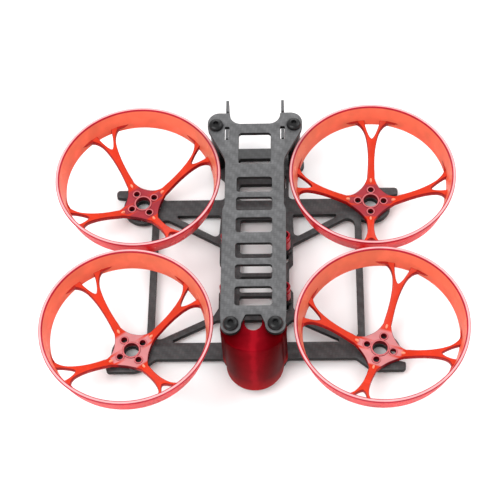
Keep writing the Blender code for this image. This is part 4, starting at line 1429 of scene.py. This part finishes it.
@dataclass(frozen=True)
class TailGuard:
    """A half-round shell below the top plate's rear, on bosses round the rear standoffs.

    Attributes:
        layout: The shared places.
        half: Half its width.
        end: Its rearmost point at the foot.
        front: Its front edge.
        lean: How far the rear wall's top stands ahead of its foot.
        wall: Thickness of the wall and the roof.
        edge: Radius of its outer edges.
        boss: Outer and inner radius of a boss.
        scoop: Radius of the scoop in the roof, and the middle of its round end.
    """

    layout: Layout
    half: float = 9.6
    end: float = -43.7
    front: float = -28.15
    lean: float = 3.6
    wall: float = 1.4
    edge: float = 0.7
    boss: Point = (3.6, 2.5)
    scoop: Point = (2.9, -29.6)

    def outline(self, inset: float, ahead: float = 0.0) -> Outline:
        """Return the shell's outline in plan.

        Args:
            inset: How far inside the outer face it runs.
            ahead: How far it runs on beyond the front edge.

        Returns:
            The outline.
        """
        half, centre = self.half - inset, (0.0, self.end + self.half)
        return ([(half, self.front + ahead)] + arc(centre, half, 0.0, -180.0, 64)
                + [(-half, self.front + ahead)])

    def leaned(self, mesh: bmesh.types.BMesh, low: float, high: float) -> bmesh.types.BMesh:
        """Shear the rear so that its top edge stands ahead of its foot.

        Args:
            mesh: The upright mesh.
            low: Height of the foot.
            high: Height of the top edge.

        Returns:
            The same mesh.
        """
        pivot = self.end + self.half
        for vert in mesh.verts:
            behind = min(max((pivot - vert.co.y) / self.half, 0.0), 1.0)
            vert.co.y += self.lean * behind * (vert.co.z - low) / (high - low)
        return mesh

    def build(self, plastic: bpy.types.Material) -> bpy.types.Object:
        """Make the guard.

        Args:
            plastic: The guard's finish.

        Returns:
            The guard.
        """
        gap = self.layout.seat_gap
        low, high = self.layout.deck + gap, self.layout.roof - gap
        shell = self.leaned(flat_piece([self.outline(0.0)], low, high, self.edge), low, high)
        hollow = flat_piece([self.outline(self.wall, 1.0)], low - 1.0, high - self.wall, 0.3)
        mesh = carved(shell, self.leaned(hollow, low, high))
        for side in Side:
            x, y = self.layout.screw(End.REAR, side)
            boss = flat_piece([circle((x, y), self.boss[0], 40)], low + 0.1,
                              high - self.wall / 2.0, 0.1)
            mesh = carved(mesh, boss, "UNION")
        for side in Side:
            x, y = self.layout.screw(End.REAR, side)
            mesh = carved(mesh, flat_piece([circle((x, y), self.boss[1], 32)],
                                           low - 1.0, high + 1.0, 0.05))
        radius, y = self.scoop
        cut = arc((0.0, y), radius, 180.0, 360.0, 24)
        cut += [(radius, self.front + 1.0), (-radius, self.front + 1.0)]
        mesh = carved(mesh, flat_piece([cut], high - 2.0 * self.wall, high + 1.0, 0.05))
        return piece("tail_guard_shell", mesh, plastic, "frame", ["tail_guard"])


# ---- fasteners and posts ---------------------------------------------------------------------
@dataclass(frozen=True)
class ButtonScrew:
    """A button-head screw with a hexagon socket.

    Attributes:
        head: Radius of the head.
        height: Height of the head.
        socket: Half the width across the socket's flats.
        depth: Depth of the socket.
        shank: Radius of the shank.
        length: Length below the head.
    """

    head: float = 2.55
    height: float = 1.48
    socket: float = 0.8
    depth: float = 0.8
    shank: float = 1.0
    length: float = 6.5

    def mesh(self) -> bmesh.types.BMesh:
        """Return the screw, head up, with its seat at height 0.

        Returns:
            The mesh.
        """
        top, r = self.height, self.head
        rings = [Ring(self.socket * 0.98, top - self.depth, 6), Ring(self.socket, top - 0.12, 6),
                 Ring(self.socket * 1.16, top, 0)]
        for angle in (78.0, 62.0, 46.0, 30.0, 14.0):
            a = math.radians(angle)
            rings.append(Ring(r * (0.42 + 0.58 * math.cos(a)), top * (0.22 + 0.78 * math.sin(a))))
        rings += [Ring(r, top * 0.22), Ring(r, 0.06), Ring(r - 0.08, 0.0), Ring(self.shank + 0.1, 0.0),
                  Ring(self.shank, -0.1)]
        pitch = 0.4
        level = -1.6
        while level > -self.length + 0.6:
            rings += [Ring(self.shank, level), Ring(self.shank - 0.16, level - pitch / 2.0)]
            level -= pitch
        rings += [Ring(self.shank, -self.length + 0.2), Ring(self.shank - 0.2, -self.length)]
        return swept(rings, 36)


@dataclass(frozen=True)
class Fasteners:
    """The frame screws from above and below, and the standoffs between the plates.

    Attributes:
        layout: The shared places.
        screw: The screw that all of them use.
        standoff: Radius of a standoff.
    """

    layout: Layout
    screw: ButtonScrew = field(default_factory=ButtonScrew)
    standoff: float = 2.2

    def standoff_mesh(self) -> bmesh.types.BMesh:
        """Return a standoff with chamfered ends and an open bore.

        Returns:
            The mesh.
        """
        low = self.layout.deck + self.layout.seat_gap
        high = self.layout.roof - self.layout.seat_gap
        bore = self.layout.hole
        r = self.standoff
        return lathed([(bore, high), (r - 0.25, high), (r, high - 0.25), (r, low + 0.25),
                       (r - 0.25, low), (bore, low)], 36)

    def build(self, black: bpy.types.Material) -> list[bpy.types.Object]:
        """Make every fastener of the frame.

        Args:
            black: Their finish.

        Returns:
            The fasteners.
        """
        made = []
        gap = self.layout.seat_gap
        over = Matrix.Rotation(math.pi, 4, "X")
        for index, (end, side) in enumerate(CORNERS):
            x, y = self.layout.screw(end, side)
            turn = Matrix.Rotation(math.radians(17.0 + 41.0 * index), 4, "Z")
            where = f"{end.word}_{side.word}"
            top = Matrix.Translation((x, y, self.layout.top + gap)) @ turn
            under = Matrix.Translation((x, y, self.layout.floor - gap)) @ over @ turn
            stand = Matrix.Translation((x, y, 0.0))
            for kind, work, mesh, stance in (
                    ("top_screw", "detailed", self.screw.mesh(), top),
                    ("bottom_screw", "detailed", self.screw.mesh(), under),
                    ("standoff", "turned", self.standoff_mesh(), stand)):
                node = f"{kind}_{where}"
                made.append(piece(f"{node}_{work}", mesh, black, "frame", [node],
                                  stance))
        return made


@dataclass(frozen=True)
class ElectronicsPosts:
    """Red posts on locknuts, held by screws from below.

    Attributes:
        layout: The shared places.
        radius: Radius of a post.
        height: Height of a post.
        bore: Radius of the bores in the posts and nuts.
        nut: Half the width across a nut's flats, and its height.
        screw: The screw from below.
    """

    layout: Layout
    radius: float = 1.9
    height: float = 7.8
    bore: float = 1.2
    nut: Point = (2.03, 2.9)
    screw: ButtonScrew = field(default_factory=lambda: ButtonScrew(
        head=1.9, height=1.2, socket=0.65, depth=0.6, shank=0.9, length=9.2))

    def post_mesh(self, low: float) -> bmesh.types.BMesh:
        """Return a post with a necked waist and an open bore.

        Args:
            low: Height of the post's foot.

        Returns:
            The mesh.
        """
        r, high, bore = self.radius, low + self.height, self.bore
        return lathed([(bore, high), (r - 0.3, high), (r, high - 0.3), (r, high - 1.6),
                       (r - 0.25, high - 1.9), (r - 0.25, high - 2.7), (r, high - 3.0),
                       (r, low + 0.3), (r - 0.3, low), (bore, low)], 32)

    def nut_mesh(self, low: float) -> bmesh.types.BMesh:
        """Return a locknut with chamfered corners and a collar.

        Args:
            low: Height of the nut's foot.

        Returns:
            The mesh.
        """
        flat, high, bore = self.nut[0], low + self.nut[1], self.bore
        return swept([Ring(bore, low), Ring(flat - 0.1, low), Ring(flat, low + 0.2, 6),
                      Ring(flat, high - 0.9, 6), Ring(flat - 0.02, high - 0.7),
                      Ring(flat - 0.35, high - 0.5), Ring(flat - 0.45, high - 0.1),
                      Ring(flat - 0.6, high), Ring(bore, high)], 36)

    def build(self, red: bpy.types.Material, black: bpy.types.Material) -> list[bpy.types.Object]:
        """Make the four posts with their nuts and screws.

        Args:
            red: The posts' finish.
            black: The finish of the nuts and screws.

        Returns:
            The pieces.
        """
        made = []
        foot = self.layout.deck + self.layout.seat_gap
        post_foot = foot + self.nut[1] + self.layout.seat_gap
        over = Matrix.Rotation(math.pi, 4, "X")
        for index, (end, side) in enumerate(CORNERS):
            x, y = side.value * self.layout.post, end.value * self.layout.post
            where = f"{end.word}_{side.word}"
            turn = Matrix.Rotation(math.radians(23.0 * index), 4, "Z")
            stand = Matrix.Translation((x, y, 0.0)) @ turn
            under = Matrix.Translation((x, y, self.layout.floor - self.layout.seat_gap)) @ over
            for kind, work, mesh, finish, slot, stance in (
                    ("stack_post", "turned", self.post_mesh(post_foot), red, "red_anodised", stand),
                    ("stack_nut", "detailed", self.nut_mesh(foot), black, "black_oxide", stand),
                    ("stack_screw", "detailed", self.screw.mesh(), black, "black_oxide", under)):
                node = f"{kind}_{where}"
                made.append(piece(f"{node}_{work}", mesh, finish, "frame", [node], stance))
        return made


# ---- camera, light and floor -------------------------------------------------------------------
@dataclass(frozen=True)
class Viewpoint:
    """Where the camera stands.

    Attributes:
        target: The point it looks at, in millimetres.
        distance: Its distance from there, in millimetres.
        azimuth: Its bearing in degrees; 0 looks along +Y.
        elevation: Its height in degrees above the horizon.
        roll: Its roll in degrees.
        lens: Its focal length for a 36 mm sensor.
    """

    target: tuple[float, float, float] = (-1.645, 2.506, 17.595)
    distance: float = 512.2
    azimuth: float = 4.089
    elevation: float = 59.121
    roll: float = -4.142
    lens: float = 109.22

    def build(self) -> bpy.types.Object:
        """Make the camera.

        Returns:
            The camera.
        """
        azimuth, elevation = math.radians(self.azimuth), math.radians(self.elevation)
        back = Vector((math.sin(azimuth) * math.cos(elevation),
                       -math.cos(azimuth) * math.cos(elevation), math.sin(elevation)))
        data = bpy.data.cameras.new("camera")
        data.lens, data.sensor_width = self.lens, 36.0
        data.clip_start, data.clip_end = 0.01, 20.0
        camera = bpy.data.objects.new("camera", data)
        bpy.context.scene.collection.objects.link(camera)
        right = Vector((0.0, 0.0, 1.0)).cross(back).normalized()
        up = back.cross(right)
        level = Matrix((right, up, back)).transposed().to_4x4()
        place = Matrix.Translation((Vector(self.target) + back * self.distance) * MM)
        camera.matrix_world = place @ level @ Matrix.Rotation(math.radians(self.roll), 4, "Z")
        bpy.context.scene.camera = camera
        return camera


@dataclass(frozen=True)
class Studio:
    """A plain pale floor under soft light.

    Attributes:
        floor: Half the floor's width in metres.
        sky: Strength of the even light from all round.
    """

    floor: float = 6.0
    sky: float = 1.0

    def build(self) -> None:
        """Make the floor and the lights."""
        mesh = bmesh.new()
        bmesh.ops.create_grid(mesh, x_segments=8, y_segments=8, size=self.floor)
        data = bpy.data.meshes.new("floor")
        mesh.to_mesh(data)
        mesh.free()
        data.materials.append(PaleFloor().build())
        floor = bpy.data.objects.new("floor", data)
        bpy.context.scene.collection.objects.link(floor)
        world = bpy.data.worlds.new("studio")
        world.use_nodes = True
        world.node_tree.nodes["Background"].inputs[0].default_value = (1.0, 1.0, 1.0, 1.0)
        world.node_tree.nodes["Background"].inputs[1].default_value = self.sky
        bpy.context.scene.world = world
        self.softbox("key", (-0.35, -0.25, 0.75), 0.55, 4.2)
        self.softbox("fill", (0.5, 0.3, 0.6), 0.5, 2.0)
        self.softbox("rim", (0.0, 0.75, 0.45), 0.45, 1.8)
        bpy.context.scene.view_settings.view_transform = "Standard"

    @staticmethod
    def softbox(name: str, place: tuple[float, float, float], size: float,
                power: float) -> bpy.types.Object:
        """Make a square soft light that looks at the frame.

        Args:
            name: The light's name.
            place: Where it stands, in metres.
            size: Its side in metres.
            power: Its power in watts.

        Returns:
            The light.
        """
        data = bpy.data.lights.new(name, "AREA")
        data.size, data.energy = size, power
        light = bpy.data.objects.new(name, data)
        light.location = place
        light.rotation_mode = "QUATERNION"
        light.rotation_quaternion = Vector(place).to_track_quat("Z", "Y")
        bpy.context.scene.collection.objects.link(light)
        return light


# The rear hubs' paler pink is a painted reflection of the light.
PAINTED_SHEEN_HUB: Tint = (0.93, 0.38, 0.39, 0.06)
DUCT_TURNS: dict[tuple[End, Side], float] = {
    (End.FRONT, Side.LEFT): 32.0,
    (End.FRONT, Side.RIGHT): -2.0,
    (End.REAR, Side.LEFT): 35.0,
    (End.REAR, Side.RIGHT): -18.0,
}


def dress(names: Iterable[str], material: bpy.types.Material) -> None:
    """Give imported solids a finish.

    Args:
        names: The solids' names.
        material: Their finish.
    """
    for name in names:
        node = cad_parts[name]
        if not node.data.materials:
            node.data.materials.append(material)
        for slot in node.material_slots:
            slot.link = "OBJECT"
            slot.material = material
        log.info("%s: dressed with %s", name, material.name)


def main() -> None:
    """Build every sub-assembly, in order, then the camera and the studio."""
    logging.basicConfig(level=logging.INFO, format="%(message)s")
    carbon = WovenCarbon().build()
    # A darker copy of the same woven carbon: painted shade on the bottom plate, which lies under the
    # top plate and the ducts.
    painted_shade_carbon = WovenCarbon("woven_carbon_deck", light=0.054, dark=0.045, edge=0.007).build()
    upright_carbon = WovenCarbon("woven_carbon_upright", ("Y", "Z"), edge=0.12).build()
    black = TurnedMetal("black_steel", (0.004, 0.004, 0.0045), 0.2, 0.30, 0.35).build()
    red_metal = TurnedMetal("red_metal", (0.36, 0.008, 0.02), 0.8, 0.32).build()
    clear_red = ClearPlastic("clear_red").build()
    deep_red = DeepPlastic().build()
    layout = Layout()
    TopPlate(layout).build(carbon)
    BottomPlate(layout).build(painted_shade_carbon)
    dress(["camera_plate_left", "camera_plate_right"], upright_carbon)
    # The rear ducts' hubs carry a painted reflection.
    ducts = {End.FRONT: Duct(), End.REAR: Duct(tints=DuctTints(hub=PAINTED_SHEEN_HUB))}
    for end, side in CORNERS:
        ducts[end].build(end, side, layout.motor(end, side), DUCT_TURNS[(end, side)], clear_red)
    TailGuard(layout).build(deep_red)
    Fasteners(layout).build(black)
    ElectronicsPosts(layout).build(red_metal, black)
    Viewpoint().build()
    Studio().build()


if __name__ == "__main__":
    main()
